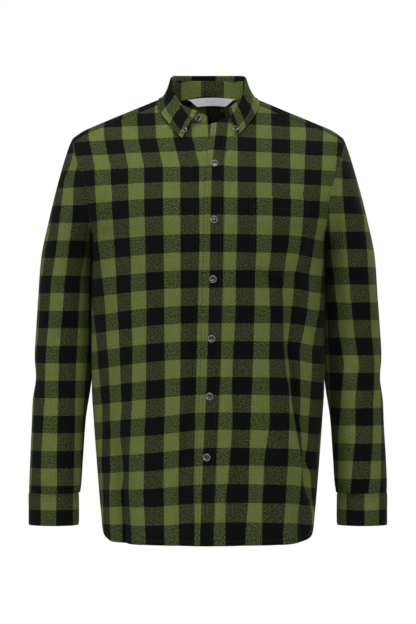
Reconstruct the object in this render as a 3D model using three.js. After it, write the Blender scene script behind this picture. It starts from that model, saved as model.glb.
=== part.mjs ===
// Long sleeved flannel shirt with a button down collar, worn and hollow, arms hanging beside the body.
// Millimetres. +X is the wearer's left, -Y the front, +Z up.
// The origin is the middle of the neck base, level with the highest points of the shoulders.
import * as THREE from 'three';

// Cloth
const WALL = 1.6;
const TRIM_WALL = 1.2;
const SEAM = 0.4;
const LAYER = 0.3;

// Body form
const SHAPE_POWER = 2.3;
const RIDGE_TOP = 12;
const RIDGE_SLOPE = 0.415;
const RIDGE_FLAT_X = 30;
const RIDGE_EASE = 64;
const SHOULDER_ROUND_X = 205;
const SHOULDER_ROUND = 0.008;
const FRONT_FALL = 240;
const FRONT_POWER = 1.9;
const BACK_FALL = 200;
const BACK_POWER = 2.2;
const RIDGE_SOFT_NECK = 5;
const RIDGE_SOFT_TIP = 38;
const RIDGE_SOFT_FROM = 110;
const RIDGE_SOFT_SPAN = 120;
const BACK_NECK_RISE = 40;
const BACK_NECK_REACH = 60;
const BACK_NECK_POWER = 1.2;
const FULLEST = 0.98;
const PROBE = 0.6;

// Level of each section, half width of the form there, and its depth before and behind the side line
const BODY_SECTIONS = [
  { level: -780, width: 181, front: 136, back: 136 },
  { level: -735, width: 181.5, front: 137, back: 137 },
  { level: -685, width: 186, front: 138, back: 138 },
  { level: -616, width: 191.5, front: 139, back: 139 },
  { level: -547, width: 196.5, front: 140, back: 138 },
  { level: -500, width: 199.5, front: 141, back: 137 },
  { level: -400, width: 200.5, front: 144, back: 136 },
  { level: -300, width: 200.5, front: 148, back: 137 },
  { level: -232, width: 201, front: 149, back: 138 },
  { level: -215, width: 213, front: 149, back: 138 },
  { level: -190, width: 233, front: 149, back: 138 },
  { level: -163, width: 253, front: 148, back: 138 },
  { level: -135, width: 264, front: 148, back: 138 },
  { level: -100, width: 268, front: 148, back: 138 },
  { level: 60, width: 268, front: 148, back: 138 },
];

// Armhole seam seen from the front, from the underarm to the shoulder ridge
const UNDERARM = -232;
const ARMHOLE = [
  { level: -232, reach: 201 },
  { level: -215, reach: 201.8 },
  { level: -190, reach: 203.5 },
  { level: -163, reach: 207.5 },
  { level: -141, reach: 213.5 },
  { level: -113, reach: 222 },
  { level: -90, reach: 229 },
  { level: -73, reach: 232 },
  { level: 0, reach: 232 },
];
const SHOULDER_TIP = 232;

// Neck hole in plan
const NECK_HALF = 62;
const NECK_MIDDLE = -2;
const NECK_DEPTH = 62;
const NECK_CORNER = 82;

// Yoke
const YOKE_FRONT_DROP = 9;
const YOKE_BACK_LEVEL = -95;
const YOKE_ARM_STEPS = 6;
const YOKE_SEAM_STEPS = 24;
const YOKE_ROWS = 6;

// Fronts
const HEM_FRONT = -755;
const HEM_BACK = -759;
const HEM_RISE = 30;
const HEM_POWER = 8;
const PLACKET_WIDTH = 32;
const PLACKET_LIFT = 2.5;
const LAP_EASE = 46;
const LOW_ROWS = 19;
const HIGH_ROWS = 8;
const BACK_HIGH_ROWS = 7;
const SHOULDER_COLUMNS = 8;
const LEFT_NECK_COLUMNS = 4;
const RIGHT_NECK_COLUMNS = 7;
const BACK_COLUMNS = 24;

// Middle of the placket, which leans to the wearer's right on its way down
const FRONT_LINE = [
  { level: -800, middle: -8 },
  { level: -755, middle: -7.5 },
  { level: -605, middle: -2.3 },
  { level: -504, middle: 2.6 },
  { level: -407, middle: 5.8 },
  { level: -308, middle: 8.2 },
  { level: -209, middle: 10 },
  { level: -117, middle: 11 },
  { level: -40, middle: 18 },
  { level: 0, middle: 20 },
];

// Largest folds of the body: ends in front view, half width, and depth of the trough, or height if negative
const FRONT_FOLDS = [
  { x0: 118, z0: -322, x1: 150, z1: -640, half: 26, deep: 7 },
  { x0: 150, z0: -600, x1: 166, z1: -760, half: 24, deep: 8 },
  { x0: 112, z0: -470, x1: 132, z1: -760, half: 20, deep: -4 },
  { x0: -160, z0: -545, x1: -150, z1: -760, half: 24, deep: 9 },
  { x0: -178, z0: -560, x1: -176, z1: -640, half: 16, deep: -3 },
  { x0: -22, z0: -270, x1: -30, z1: -640, half: 20, deep: 3.5 },
  { x0: -70, z0: -560, x1: -78, z1: -760, half: 34, deep: 3.5 },
  { x0: 62, z0: -560, x1: 70, z1: -760, half: 34, deep: 3.5 },
];
const BACK_FOLDS = [
  { x0: -62, z0: -330, x1: -96, z1: -760, half: 34, deep: 8 },
  { x0: 50, z0: -360, x1: 92, z1: -760, half: 32, deep: 8 },
  { x0: -8, z0: -430, x1: 6, z1: -760, half: 36, deep: 6 },
  { x0: -150, z0: -430, x1: -158, z1: -760, half: 26, deep: 7 },
  { x0: 150, z0: -400, x1: 154, z1: -760, half: 26, deep: 7 },
];

// How sharply a fold falls away beside its line, how soon it fades at its ends and near the panel's edges
const FOLD_SHARPNESS = 1.4;
const FOLD_END = 3;
const FOLD_SIDE_FADE = 24;
const FOLD_TOP_FADE = 60;
const OPEN_AT_HEM = -750;

// Sleeve sections: outer and inner ends in front view, half depth, middle and turn toward the body behind
const SLEEVE_SECTIONS = [
  { outX: 271, outZ: -198, inX: 202, inZ: -256, half: 73, middle: 8, turn: 0.1 },
  { outX: 284.5, outZ: -264, inX: 198, inZ: -296, half: 74, middle: 10, turn: 0.12 },
  { outX: 291, outZ: -338, inX: 197, inZ: -352, half: 69, middle: 10, turn: 0.12 },
  { outX: 296.5, outZ: -411, inX: 197, inZ: -415, half: 62, middle: 8, turn: 0.12 },
  { outX: 301, outZ: -480, inX: 201, inZ: -482, half: 57, middle: 4, turn: 0.1 },
  { outX: 303, outZ: -547, inX: 210, inZ: -547, half: 54, middle: 0, turn: 0.06 },
  { outX: 305, outZ: -610, inX: 215, inZ: -610, half: 51, middle: -4, turn: 0.03 },
  { outX: 306, outZ: -652, inX: 218, inZ: -652, half: 48, middle: -7, turn: 0 },
  { outX: 305, outZ: -672, inX: 221, inZ: -672, half: 43, middle: -8, turn: 0 },
];
const CAP_ROWS = 3;
const SLEEVE_ROWS = 14;
const CAP_PULL = 30;
const SLEEVE_PULL = 110;
const UNDERARM_EASE = 60;
const UNDERARM_CAP_PULL = 14;
const UNDERARM_SLEEVE_PULL = 20;
const SLEEVE_STEP = 0.02;
const BODY_CLEAR = 2.2;

// Sleeve folds: place down the sleeve from 0 to 1, angle from the inner side over the front, and their spans
const SLEEVE_FOLDS = [
  { at: 0.36, turn: 60, span: 0.07, arc: 60, deep: 5 },
  { at: 0.5, turn: 150, span: 0.06, arc: 55, deep: 7 },
  { at: 0.62, turn: 120, span: 0.09, arc: 45, deep: 6 },
  { at: 0.47, turn: 250, span: 0.06, arc: 70, deep: 6 },
  { at: 0.6, turn: 280, span: 0.07, arc: 60, deep: 5 },
  { at: 0.88, turn: 95, span: 0.1, arc: 22, deep: 4 },
  { at: 0.9, turn: 270, span: 0.1, arc: 26, deep: 4 },
];
const SLEEVE_FOLD_SHARPNESS = 1.5;
const SLEEVE_FOLD_RADIUS = 60;

// Cuffs
const CUFF_TOP = -672.4;
const CUFF_HEM = -728;
const CUFF_HALF_X = 43.4;
const CUFF_HALF_Y = 39;
const CUFF_MIDDLE_X = 264.6;
const CUFF_MIDDLE_Y = -8;
const CUFF_OPENING = 118;
const CUFF_LAP = 22;
const CUFF_STEPS = 34;
const CUFF_LIFT = WALL + LAYER + 0.3;
const CUFF_LIFT_FROM = 320;
const CUFF_LIFT_SPAN = 40;

// Sleeve placket behind the cuff opening
const VENT_WIDTH = 24;
const VENT_EASE = 1;
const VENT_TURN = 246;
const VENT_FOOT = 0.995;
const VENT_SHARE = 0.36;
const VENT_POINT = 0.04;
const VENT_RADIUS = 46;
const VENT_ROWS = 8;

// Collar, from the middle of the back to each front end: fold line, free edge and height of the rise
const COLLAR_BACK = [
  { foldX: 0, foldY: 61, foldZ: 47, edgeX: 0, edgeY: 84, edgeZ: -2, rise: 9 },
  { foldX: 24, foldY: 57, foldZ: 47, edgeX: 31, edgeY: 80, edgeZ: -2, rise: 9 },
  { foldX: 45, foldY: 42, foldZ: 47, edgeX: 59, edgeY: 63, edgeZ: -1, rise: 9 },
  { foldX: 58, foldY: 19, foldZ: 46, edgeX: 79, edgeY: 36, edgeZ: 2, rise: 9 },
];
const COLLAR_RIGHT = [
  { foldX: 61, foldY: -4, foldZ: 37, edgeX: 86, edgeY: 6, edgeZ: 9, rise: 8 },
  { foldX: 59, foldY: -22, foldZ: 21, edgeX: 87, edgeY: -19, edgeZ: -6, rise: 7 },
  { foldX: 53, foldY: -36, foldZ: 7, edgeX: 80, edgeY: 0, edgeZ: -24, rise: 6 },
  { foldX: 44, foldY: -47, foldZ: -8, edgeX: 67, edgeY: 0, edgeZ: -42, rise: 5 },
  { foldX: 31, foldY: -57, foldZ: -15.5, edgeX: 55, edgeY: 0, edgeZ: -58, rise: 4 },
  { foldX: 17, foldY: -64, foldZ: -21.5, edgeX: 44, edgeY: 0, edgeZ: -69, rise: 4 },
];
const COLLAR_LEFT = [
  { foldX: 62, foldY: -4, foldZ: 40, edgeX: 87, edgeY: 6, edgeZ: 9, rise: 8 },
  { foldX: 62, foldY: -17, foldZ: 30, edgeX: 88, edgeY: -17, edgeZ: -5, rise: 7 },
  { foldX: 60, foldY: -28, foldZ: 13, edgeX: 84, edgeY: 0, edgeZ: -20, rise: 6 },
  { foldX: 54, foldY: -38, foldZ: 2, edgeX: 74, edgeY: 0, edgeZ: -36, rise: 5 },
  { foldX: 45, foldY: -47, foldZ: -7, edgeX: 62, edgeY: 0, edgeZ: -51, rise: 4 },
  { foldX: 33, foldY: -56, foldZ: -16, edgeX: 50, edgeY: 0, edgeZ: -66, rise: 4 },
];

// The leaf's roll over the stand: steps outward from the fold line and their heights
const ROLL_SIDE = { run: 0.3, rise: -0.5 };
const ROLL_TOP = 2.4;
const ROLL_TURN = { run: 5.2, rise: -2.4 };
const ROLL_END = { run: 6.6, rise: -7 };
const LEAF_ROWS = 6;
const LEAF_FREE_ROW = 5;
const LEAF_LIFT = 4.5;
const LEAF_BULGE = 4;
const STAND_WALL = 1.8;
const STAND_FOOT = 1;

// Pocket on the wearer's left front: front view corners of its top, sides and point
const POCKET = { left: 69, right: 172, topLeft: -167, topRight: -173, side: -288, point: -307 };
const POCKET_TAPER = 3;
const POCKET_EASE = 0.4;
const POCKET_STEPS = 8;

// Label inside the back neck
const LABEL_WALL = 1;
const LABEL = { half: 38, top: 11, droop: 5, height: 15, inset: 5.2, tilt: 1.2 };

// Buttons
const BUTTON_RADIUS = 6.35;
const BUTTON_THICK = 2.6;
const SMALL_BUTTON_RADIUS = 4.8;
const BUTTON_LEVELS = [-115.5, -209, -308, -407.5, -504, -606];
const STAND_BUTTON = { x: -16.5, z: -33 };
const COLLAR_BUTTONS = [
  { name: 'right', x: -39, z: -56 },
  { name: 'left', x: 46, z: -53 },
];
const BUTTON_SEGMENTS = 16;
const BUTTON_GAP = 0.45;
const STAND_BUTTON_SHARE = 0.9;

const DEGREE = Math.PI / 180;
const clamp = THREE.MathUtils.clamp;
const lerp = THREE.MathUtils.lerp;
const vector = (x, y, z) => new THREE.Vector3(x, y, z);

function smooth(t) {
  const u = clamp(t, 0, 1);
  return u * u * (3 - 2 * u);
}

// A smooth curve through a table of rows, from one named column to another
function through(rows, from, to) {
  const slope = (i) => {
    const a = rows[Math.max(i - 1, 0)];
    const b = rows[Math.min(i + 1, rows.length - 1)];
    return (b[to] - a[to]) / (b[from] - a[from]);
  };
  return (x) => {
    let i = 0;
    while (i < rows.length - 2 && x > rows[i + 1][from]) {
      i += 1;
    }
    const span = rows[i + 1][from] - rows[i][from];
    const t = clamp((x - rows[i][from]) / span, 0, 1);
    const a = rows[i][to];
    const b = rows[i + 1][to];
    const curve = t * (1 - t) * span * ((1 - t) * slope(i) - t * slope(i + 1));
    return a + (b - a) * t * t * (3 - 2 * t) + curve;
  };
}

const bodyWidth = through(BODY_SECTIONS, 'level', 'width');
const frontDepth = through(BODY_SECTIONS, 'level', 'front');
const backDepth = through(BODY_SECTIONS, 'level', 'back');
const armholeReach = through(ARMHOLE, 'level', 'reach');
const frontLine = through(FRONT_LINE, 'level', 'middle');

// Height of the shoulder ridge
function ridge(x) {
  const a = Math.abs(x);
  let run = a - RIDGE_FLAT_X - RIDGE_EASE / 2;
  if (a < RIDGE_FLAT_X + RIDGE_EASE) {
    run = Math.max(a - RIDGE_FLAT_X, 0) ** 2 / (2 * RIDGE_EASE);
  }
  return RIDGE_TOP - RIDGE_SLOPE * run - SHOULDER_ROUND * Math.max(a - SHOULDER_ROUND_X, 0) ** 2;
}

// How gently the cloth turns over the ridge
function softness(x) {
  return lerp(RIDGE_SOFT_NECK, RIDGE_SOFT_TIP, smooth((Math.abs(x) - RIDGE_SOFT_FROM) / RIDGE_SOFT_SPAN));
}

// Extra height behind the neck, which dies away down the back
function neckRise(x, y) {
  const inside = Math.max(1 - (x / NECK_HALF) ** 2, 0);
  const behind = clamp((y - NECK_DEPTH) / BACK_NECK_REACH, 0, 1);
  return y > 0 ? BACK_NECK_RISE * inside ** BACK_NECK_POWER * (1 - behind ** 2) ** 2 : 0;
}

// The two halves of the body form: how deep it is, and how it falls away from the ridge
const FRONT = { sign: -1, depth: frontDepth, fall: FRONT_FALL, power: FRONT_POWER };
const BACK = { sign: 1, depth: backDepth, fall: BACK_FALL, power: BACK_POWER };

function share(half, x, z) {
  const drop = Math.max(ridge(x) - z, 0);
  const q = Math.min(Math.sqrt(drop * (drop + 2 * softness(x))) / half.fall, 1);
  return 1 - (1 - q) ** half.power;
}

function across(x, z) {
  return Math.max(1 - Math.abs(x / bodyWidth(z)) ** SHAPE_POWER, 0) ** (1 / SHAPE_POWER);
}

function depthAt(half, x, z) {
  return half.sign * half.depth(z) * across(x, z) * share(half, x, z);
}

// Height of the shoulders above a point of the plan
function heightAt(x, y) {
  const half = y < 0 ? FRONT : BACK;
  const level = UNDERARM / 4;
  const part = clamp(Math.abs(y) / (half.depth(level) * across(x, level)), 0, FULLEST);
  const q = (1 - (1 - part) ** (1 / half.power)) * half.fall;
  const soft = softness(x);
  return ridge(x) + soft - Math.sqrt(soft ** 2 + q * q) + neckRise(x, y);
}

// Outward direction of the body form, from a field that is nought on the form and grows outside it
function outward(x, y, z) {
  const half = y < 0 ? FRONT : BACK;
  const reach = (a, b, c) => across(a, c) * share(half, a, c - neckRise(a, b));
  const field = (a, b, c) => (b / half.depth(c)) ** 2 - reach(a, b, c) ** 2;
  const n = vector(
    field(x + PROBE, y, z) - field(x - PROBE, y, z),
    field(x, y + PROBE, z) - field(x, y - PROBE, z),
    field(x, y, z + PROBE) - field(x, y, z - PROBE),
  );
  return n.normalize();
}

// Relief of the largest folds at a point of the front view
function relief(folds, x, z) {
  let sum = 0;
  for (const fold of folds) {
    const dx = fold.x1 - fold.x0;
    const dz = fold.z1 - fold.z0;
    const along = ((x - fold.x0) * dx + (z - fold.z0) * dz) / (dx * dx + dz * dz);
    const t = clamp(along, 0, 1);
    const away = Math.hypot(x - fold.x0 - dx * t, z - fold.z0 - dz * t) / fold.half;
    const ends = smooth(t * FOLD_END) * smooth((1 - t) * FOLD_END + (fold.z1 < OPEN_AT_HEM ? 1 : 0));
    sum -= fold.deep * Math.exp(-away * away * FOLD_SHARPNESS) * ends;
  }
  return sum;
}

// A point on the front or back of the body with its outward direction, folds included
function bodyPoint(half, x, z, lift = 0) {
  const y = depthAt(half, x, z);
  const seat = half.sign * Math.max(Math.abs(y), SEAM / 2);
  const n = outward(x, seat, z);
  const folds = half === FRONT ? FRONT_FOLDS : BACK_FOLDS;
  const beside = smooth((bodyWidth(z) - Math.abs(x)) / FOLD_SIDE_FADE);
  const fade = beside * smooth((UNDERARM - z) / FOLD_TOP_FADE + 1);
  const p = vector(x, seat, z).addScaledVector(n, relief(folds, x, z) * fade + lift);
  return { p, n };
}

// The wearer's left front stands off the right one where they lap
function lapLift(x, z) {
  const edge = frontLine(z) + PLACKET_WIDTH / 2;
  return (WALL + LAYER) * (1 - smooth((x - edge) / LAP_EASE));
}

// A closed wall from rows of points with outward directions; each point is on the outer face
function wall(rows, thick, ring = false) {
  const points = [];
  const faces = [];
  const high = rows.length;
  const wide = rows[0].length;
  for (const row of rows) {
    for (const { p, n } of row) {
      points.push(p.clone(), p.clone().addScaledVector(n, -thick));
    }
  }
  const at = (i, j, inner) => 2 * (i * wide + (j % wide)) + inner;
  const quad = (a, b, c, d) => faces.push(a, b, c, a, c, d);
  const last = ring ? wide : wide - 1;
  for (let i = 0; i < high - 1; i += 1) {
    for (let j = 0; j < last; j += 1) {
      quad(at(i, j, 0), at(i, j + 1, 0), at(i + 1, j + 1, 0), at(i + 1, j, 0));
      quad(at(i, j, 1), at(i + 1, j, 1), at(i + 1, j + 1, 1), at(i, j + 1, 1));
    }
    if (!ring) {
      quad(at(i, 0, 0), at(i + 1, 0, 0), at(i + 1, 0, 1), at(i, 0, 1));
      quad(at(i, last, 0), at(i, last, 1), at(i + 1, last, 1), at(i + 1, last, 0));
    }
  }
  for (let j = 0; j < last; j += 1) {
    quad(at(0, j, 0), at(0, j, 1), at(0, j + 1, 1), at(0, j + 1, 0));
    quad(at(high - 1, j, 0), at(high - 1, j + 1, 0), at(high - 1, j + 1, 1), at(high - 1, j, 1));
  }
  return solid(points, faces);
}

// Turns the faces outward if the solid came out inside out
function solid(points, faces) {
  let volume = 0;
  for (let k = 0; k < faces.length; k += 3) {
    const [a, b, c] = [points[faces[k]], points[faces[k + 1]], points[faces[k + 2]]];
    volume += a.dot(b.clone().cross(c));
  }
  if (volume < 0) {
    faces.reverse();
  }
  const geometry = new THREE.BufferGeometry();
  geometry.setAttribute('position', new THREE.Float32BufferAttribute(points.flatMap((p) => p.toArray()), 3));
  geometry.setIndex(faces);
  geometry.computeVertexNormals();
  return geometry;
}

// Outward directions of a free sheet, from its neighbours; side tells which way is out
function withNormals(rows, ring, side) {
  const wide = rows[0].length;
  const pick = (i, j) => {
    const row = rows[clamp(i, 0, rows.length - 1)];
    return ring ? row[(j + wide) % wide] : row[clamp(j, 0, wide - 1)];
  };
  return rows.map((row, i) => row.map((p, j) => {
    const along = pick(i + 1, j).clone().sub(pick(i - 1, j));
    const over = pick(i, j + 1).clone().sub(pick(i, j - 1));
    return { p, n: along.cross(over).multiplyScalar(side).normalize() };
  }));
}

// Neck ring
function neckPoint(angle, inset = 0) {
  const x = (NECK_HALF - inset) * Math.sin(angle * DEGREE);
  const y = NECK_MIDDLE - (NECK_DEPTH - inset) * Math.cos(angle * DEGREE);
  return vector(x, y, heightAt(x, y));
}

// Angle of the form that gives a distance from the middle
const swing = (x, z) => Math.sign(x) * Math.asin(clamp(Math.abs(x) / bodyWidth(z), 0, 1) ** (SHAPE_POWER / 2));
const unswing = (a, z) => Math.sign(a) * bodyWidth(z) * Math.abs(Math.sin(a)) ** (2 / SHAPE_POWER);

function edgeReach(z) {
  return z > UNDERARM ? Math.min(armholeReach(z), bodyWidth(z)) : bodyWidth(z);
}

function hemLevel(base, part) {
  return base + HEM_RISE * part ** HEM_POWER;
}

// Rows of a body panel. Each column has its share of the way from the start to the side, and its top.
function bodyRows(half, side, start, columns, hem, highRows, lift) {
  const rows = [];
  const plain = (z, part) => {
    const edge = swing(edgeReach(z), z);
    const from = side === 0 ? -edge : swing(start(z), z);
    const to = side === 0 ? edge : side * edge;
    return unswing(lerp(from, to, part), z);
  };
  for (let i = 0; i <= LOW_ROWS + highRows; i += 1) {
    rows.push(columns.map(({ part, top }) => {
      const bottom = hemLevel(hem, side === 0 ? Math.abs(2 * part - 1) : part);
      let z = lerp(bottom, UNDERARM, Math.min(i / LOW_ROWS, 1));
      const up = clamp((i - LOW_ROWS) / highRows, 0, 1);
      if (i > LOW_ROWS) {
        const outer = side === 0 ? Math.abs(2 * part - 1) : part;
        const t = lerp(up, 1 - Math.cos(up * Math.PI / 2), outer ** 3);
        z = lerp(UNDERARM, top.z, t);
      }
      const x = plain(z, part) + (top.x - plain(top.z, part)) * smooth(up);
      return bodyPoint(half, x, z, lift(x, z));
    }));
  }
  return rows;
}

// Tops of the columns of a front: along the neck to its corner, then along the yoke's front seam
function frontTops(side, firstAngle, neckSteps) {
  const tops = [];
  const corner = neckPoint(NECK_CORNER);
  for (let k = 0; k <= neckSteps; k += 1) {
    const p = neckPoint(side * lerp(firstAngle, NECK_CORNER, k / neckSteps));
    tops.push({ x: p.x, z: p.z });
  }
  tops[neckSteps].z = Math.min(tops[neckSteps].z, ridge(corner.x) - YOKE_FRONT_DROP - SEAM);
  for (let k = 1; k <= SHOULDER_COLUMNS; k += 1) {
    const x = lerp(corner.x, SHOULDER_TIP, k / SHOULDER_COLUMNS);
    tops.push({ x: side * x, z: ridge(x) - YOKE_FRONT_DROP - SEAM });
  }
  return tops;
}

function frontPanel(side, start, firstAngle, neckSteps, lift) {
  const tops = frontTops(side, firstAngle, neckSteps);
  const columns = tops.map((top, k) => ({ part: k / (tops.length - 1), top }));
  return bodyRows(FRONT, side, start, columns, HEM_FRONT, HIGH_ROWS, lift);
}

// Where each front begins, and the neck ring's angles where the fronts and the placket end
const leftStart = (z) => frontLine(z) + PLACKET_WIDTH / 2 + SEAM;
const rightStart = (z) => frontLine(z) + PLACKET_WIDTH / 2;
const RIGHT_ANGLE = -24;
const LEFT_ANGLE = 34;
const PLACKET_ANGLE = 5;

function frontLeft() {
  return wall(frontPanel(1, leftStart, LEFT_ANGLE, LEFT_NECK_COLUMNS, lapLift), WALL);
}

function frontRight() {
  return wall(frontPanel(-1, rightStart, RIGHT_ANGLE, RIGHT_NECK_COLUMNS, () => 0), WALL);
}

// The strip that carries the buttons' holes, over the edge of the right front
function placket() {
  const rows = [];
  for (let i = 0; i <= LOW_ROWS + HIGH_ROWS; i += 1) {
    const row = [];
    for (let j = 0; j <= 2; j += 1) {
      const side = (j / 2 - 0.5) * PLACKET_WIDTH;
      const neck = neckPoint(lerp(PLACKET_ANGLE, LEFT_ANGLE, j / 2));
      const up = clamp((i - LOW_ROWS) / HIGH_ROWS, 0, 1);
      const low = lerp(HEM_FRONT, UNDERARM, Math.min(i / LOW_ROWS, 1));
      const z = lerp(low, neck.z, up);
      const shift = neck.x - SEAM * (j / 2) - frontLine(neck.z) - side;
      row.push(bodyPoint(FRONT, frontLine(z) + side + shift * smooth(up), z, PLACKET_LIFT));
    }
    rows.push(row);
  }
  return wall(rows, WALL);
}

function backPanel() {
  const columns = [];
  for (let k = 0; k <= BACK_COLUMNS; k += 1) {
    const part = k / BACK_COLUMNS;
    const a = swing(edgeReach(YOKE_BACK_LEVEL), YOKE_BACK_LEVEL);
    const x = unswing(lerp(-a, a, part), YOKE_BACK_LEVEL);
    columns.push({ part, top: { x, z: YOKE_BACK_LEVEL - SEAM } });
  }
  return wall(bodyRows(BACK, 0, null, columns, HEM_BACK, BACK_HIGH_ROWS, () => 0), WALL);
}

// The yoke's outer boundary: up one armhole edge from the front seam, along the back seam, down the other
function armholeYokePoint(side, t) {
  const front = depthAt(FRONT, SHOULDER_TIP, ridge(SHOULDER_TIP) - YOKE_FRONT_DROP + SEAM);
  const reach = armholeReach(YOKE_BACK_LEVEL);
  const back = depthAt(BACK, reach, YOKE_BACK_LEVEL + SEAM);
  const y = lerp(front, back, t);
  const x = lerp(SHOULDER_TIP, reach, smooth(t));
  return vector(side * x, y, heightAt(x, y));
}

function yokeRim() {
  const rim = [];
  for (let k = 0; k <= YOKE_ARM_STEPS; k += 1) {
    rim.push(armholeYokePoint(1, k / YOKE_ARM_STEPS));
  }
  const z = YOKE_BACK_LEVEL + SEAM;
  const a = swing(armholeReach(YOKE_BACK_LEVEL), z);
  for (let k = 1; k < YOKE_SEAM_STEPS; k += 1) {
    const x = unswing(lerp(a, -a, k / YOKE_SEAM_STEPS), z);
    rim.push(vector(x, depthAt(BACK, x, z), z));
  }
  for (let k = YOKE_ARM_STEPS; k >= 0; k -= 1) {
    rim.push(armholeYokePoint(-1, k / YOKE_ARM_STEPS));
  }
  return rim;
}

function yoke() {
  const rim = yokeRim();
  const last = rim.length - 1;
  const rows = [];
  for (let i = 0; i <= YOKE_ROWS; i += 1) {
    rows.push(rim.map((outer, k) => {
      const inner = neckPoint(lerp(NECK_CORNER, 360 - NECK_CORNER, k / last));
      const t = i / YOKE_ROWS;
      const x = lerp(inner.x, outer.x, t);
      const y = lerp(inner.y, outer.y, t);
      let z = heightAt(x, y);
      if (i === YOKE_ROWS) {
        z = outer.z;
      }
      if (k === 0 || k === last) {
        z = ridge(x) - YOKE_FRONT_DROP + SEAM;
        return seat(x, depthAt(FRONT, x, z), z);
      }
      return seat(x, y, z);
    }));
  }
  return wall(rows, WALL);
}

// A point of the body form with its outward direction
const seat = (x, y, z) => ({ p: vector(x, y, z), n: outward(x, y, z) });

// Ring of the armhole: the front's edge from the underarm up, over the yoke, and down the back's edge
function armholeRing(side) {
  const ring = [];
  const edge = (half, z) => {
    const x = edgeReach(z);
    return seat(side * x, depthAt(half, x, z), z);
  };
  for (let k = 0; k < HIGH_ROWS; k += 1) {
    const top = ridge(SHOULDER_TIP) - YOKE_FRONT_DROP - SEAM;
    const z = lerp(UNDERARM, top, 1 - Math.cos((k / HIGH_ROWS) * Math.PI / 2));
    ring.push(k === 0 ? { p: vector(side * edgeReach(z), 0, z), n: vector(side, 0, 0) } : edge(FRONT, z));
  }
  for (let k = 0; k <= YOKE_ARM_STEPS; k += 1) {
    const p = armholeYokePoint(side, k / YOKE_ARM_STEPS);
    ring.push({ p, n: outward(p.x, p.y, p.z) });
  }
  for (let k = BACK_HIGH_ROWS - 1; k > 0; k -= 1) {
    const top = YOKE_BACK_LEVEL - SEAM;
    ring.push(edge(BACK, lerp(UNDERARM, top, 1 - Math.cos((k / BACK_HIGH_ROWS) * Math.PI / 2))));
  }
  return ring;
}

const SLEEVE_KEYS = ['outX', 'outZ', 'inX', 'inZ', 'half', 'middle', 'turn'];
const SLEEVE_STATIONS = SLEEVE_SECTIONS.map((row, k) => ({ ...row, at: k / (SLEEVE_SECTIONS.length - 1) }));
const SLEEVE_CURVES = SLEEVE_KEYS.map((key) => through(SLEEVE_STATIONS, 'at', key));

// How far out the body reaches beside a point, so that the sleeve can stay clear of it
function bodySide(y, z) {
  const half = y < 0 ? FRONT : BACK;
  const part = clamp(Math.abs(y) / (half.depth(z) * share(half, bodyWidth(z) * 0.9, z)), 0, 1);
  return bodyWidth(z) * (1 - part ** SHAPE_POWER) ** (1 / SHAPE_POWER);
}

function sleeveFold(t, angle) {
  let sum = 0;
  for (const fold of SLEEVE_FOLDS) {
    const off = Math.abs(((angle / DEGREE - fold.turn + 540) % 360) - 180) / fold.arc;
    const along = (t - fold.at) / fold.span;
    sum += fold.deep * Math.exp(-(off * off + along * along) * SLEEVE_FOLD_SHARPNESS);
  }
  return sum;
}

// A point of the sleeve below its cap. The angle runs from the inner side over the front.
function sleevePoint(side, t, angle) {
  const [outX, outZ, inX, inZ, half, middle, turn] = SLEEVE_CURVES.map((curve) => curve(t));
  const c = -Math.cos(angle);
  const s = -Math.sin(angle);
  const shrink = 1 - sleeveFold(t, angle) / SLEEVE_FOLD_RADIUS;
  const y = middle + half * s * shrink;
  const z = lerp(inZ, outZ, (c + 1) / 2);
  let x = lerp(inX, outX, (1 + c * shrink) / 2) - turn * half * s;
  x = Math.max(x, bodySide(y, z) + BODY_CLEAR);
  return vector(side * x, y, z);
}

// Angle of each column of the sleeve, matched to the place of its point on the armhole
function sleeveAngles(ring) {
  const lengths = [0];
  for (let k = 1; k <= ring.length; k += 1) {
    lengths.push(lengths[k - 1] + ring[k % ring.length].p.distanceTo(ring[k - 1].p));
  }
  return ring.map((_, k) => (lengths[k] / lengths[ring.length]) * 2 * Math.PI);
}

function sleeveRows(side) {
  const ring = armholeRing(side);
  const angles = sleeveAngles(ring);
  const rows = [];
  const first = [];
  ring.forEach(({ p, n }, k) => {
    const next = ring[(k + 1) % ring.length].p;
    const before = ring[(k + ring.length - 1) % ring.length].p;
    const out = next.clone().sub(before).cross(n).normalize().multiplyScalar(side);
    first.push({ p: p.clone().addScaledVector(out, SEAM), n, out });
  });
  rows.push(first.map(({ p }) => p));
  for (let i = 1; i <= CAP_ROWS; i += 1) {
    const t = i / (CAP_ROWS + 1);
    rows.push(first.map(({ p, out, n }, k) => {
      const end = sleevePoint(side, 0, angles[k]);
      const below = sleevePoint(side, SLEEVE_STEP, angles[k]).sub(end).normalize();
      const low = smooth((UNDERARM + UNDERARM_EASE - p.z) / UNDERARM_EASE);
      const start = out.clone().addScaledVector(n, low).multiplyScalar(lerp(CAP_PULL, UNDERARM_CAP_PULL, low));
      const finish = below.multiplyScalar(lerp(SLEEVE_PULL, UNDERARM_SLEEVE_PULL, low));
      const t2 = t * t;
      const t3 = t2 * t;
      return p.clone().multiplyScalar(2 * t3 - 3 * t2 + 1)
        .addScaledVector(end, 3 * t2 - 2 * t3)
        .addScaledVector(start, t3 - 2 * t2 + t)
        .addScaledVector(finish, t3 - t2);
    }));
  }
  for (let i = 0; i <= SLEEVE_ROWS; i += 1) {
    rows.push(angles.map((angle) => sleevePoint(side, i / SLEEVE_ROWS, angle)));
  }
  const sheet = withNormals(rows, true, side);
  sheet[0].forEach((point, k) => {
    point.n = first[k].n;
  });
  return sheet;
}

// A cuff is one band round the wrist whose outer end laps over its start behind the arm
function cuffPoint(side, turn, z, lift) {
  const angle = (CUFF_OPENING + turn) * DEGREE;
  const x = CUFF_MIDDLE_X - (CUFF_HALF_X + lift) * Math.cos(angle);
  const y = CUFF_MIDDLE_Y + (CUFF_HALF_Y + lift) * Math.sin(angle);
  return vector(side * x, y, z);
}

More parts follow.
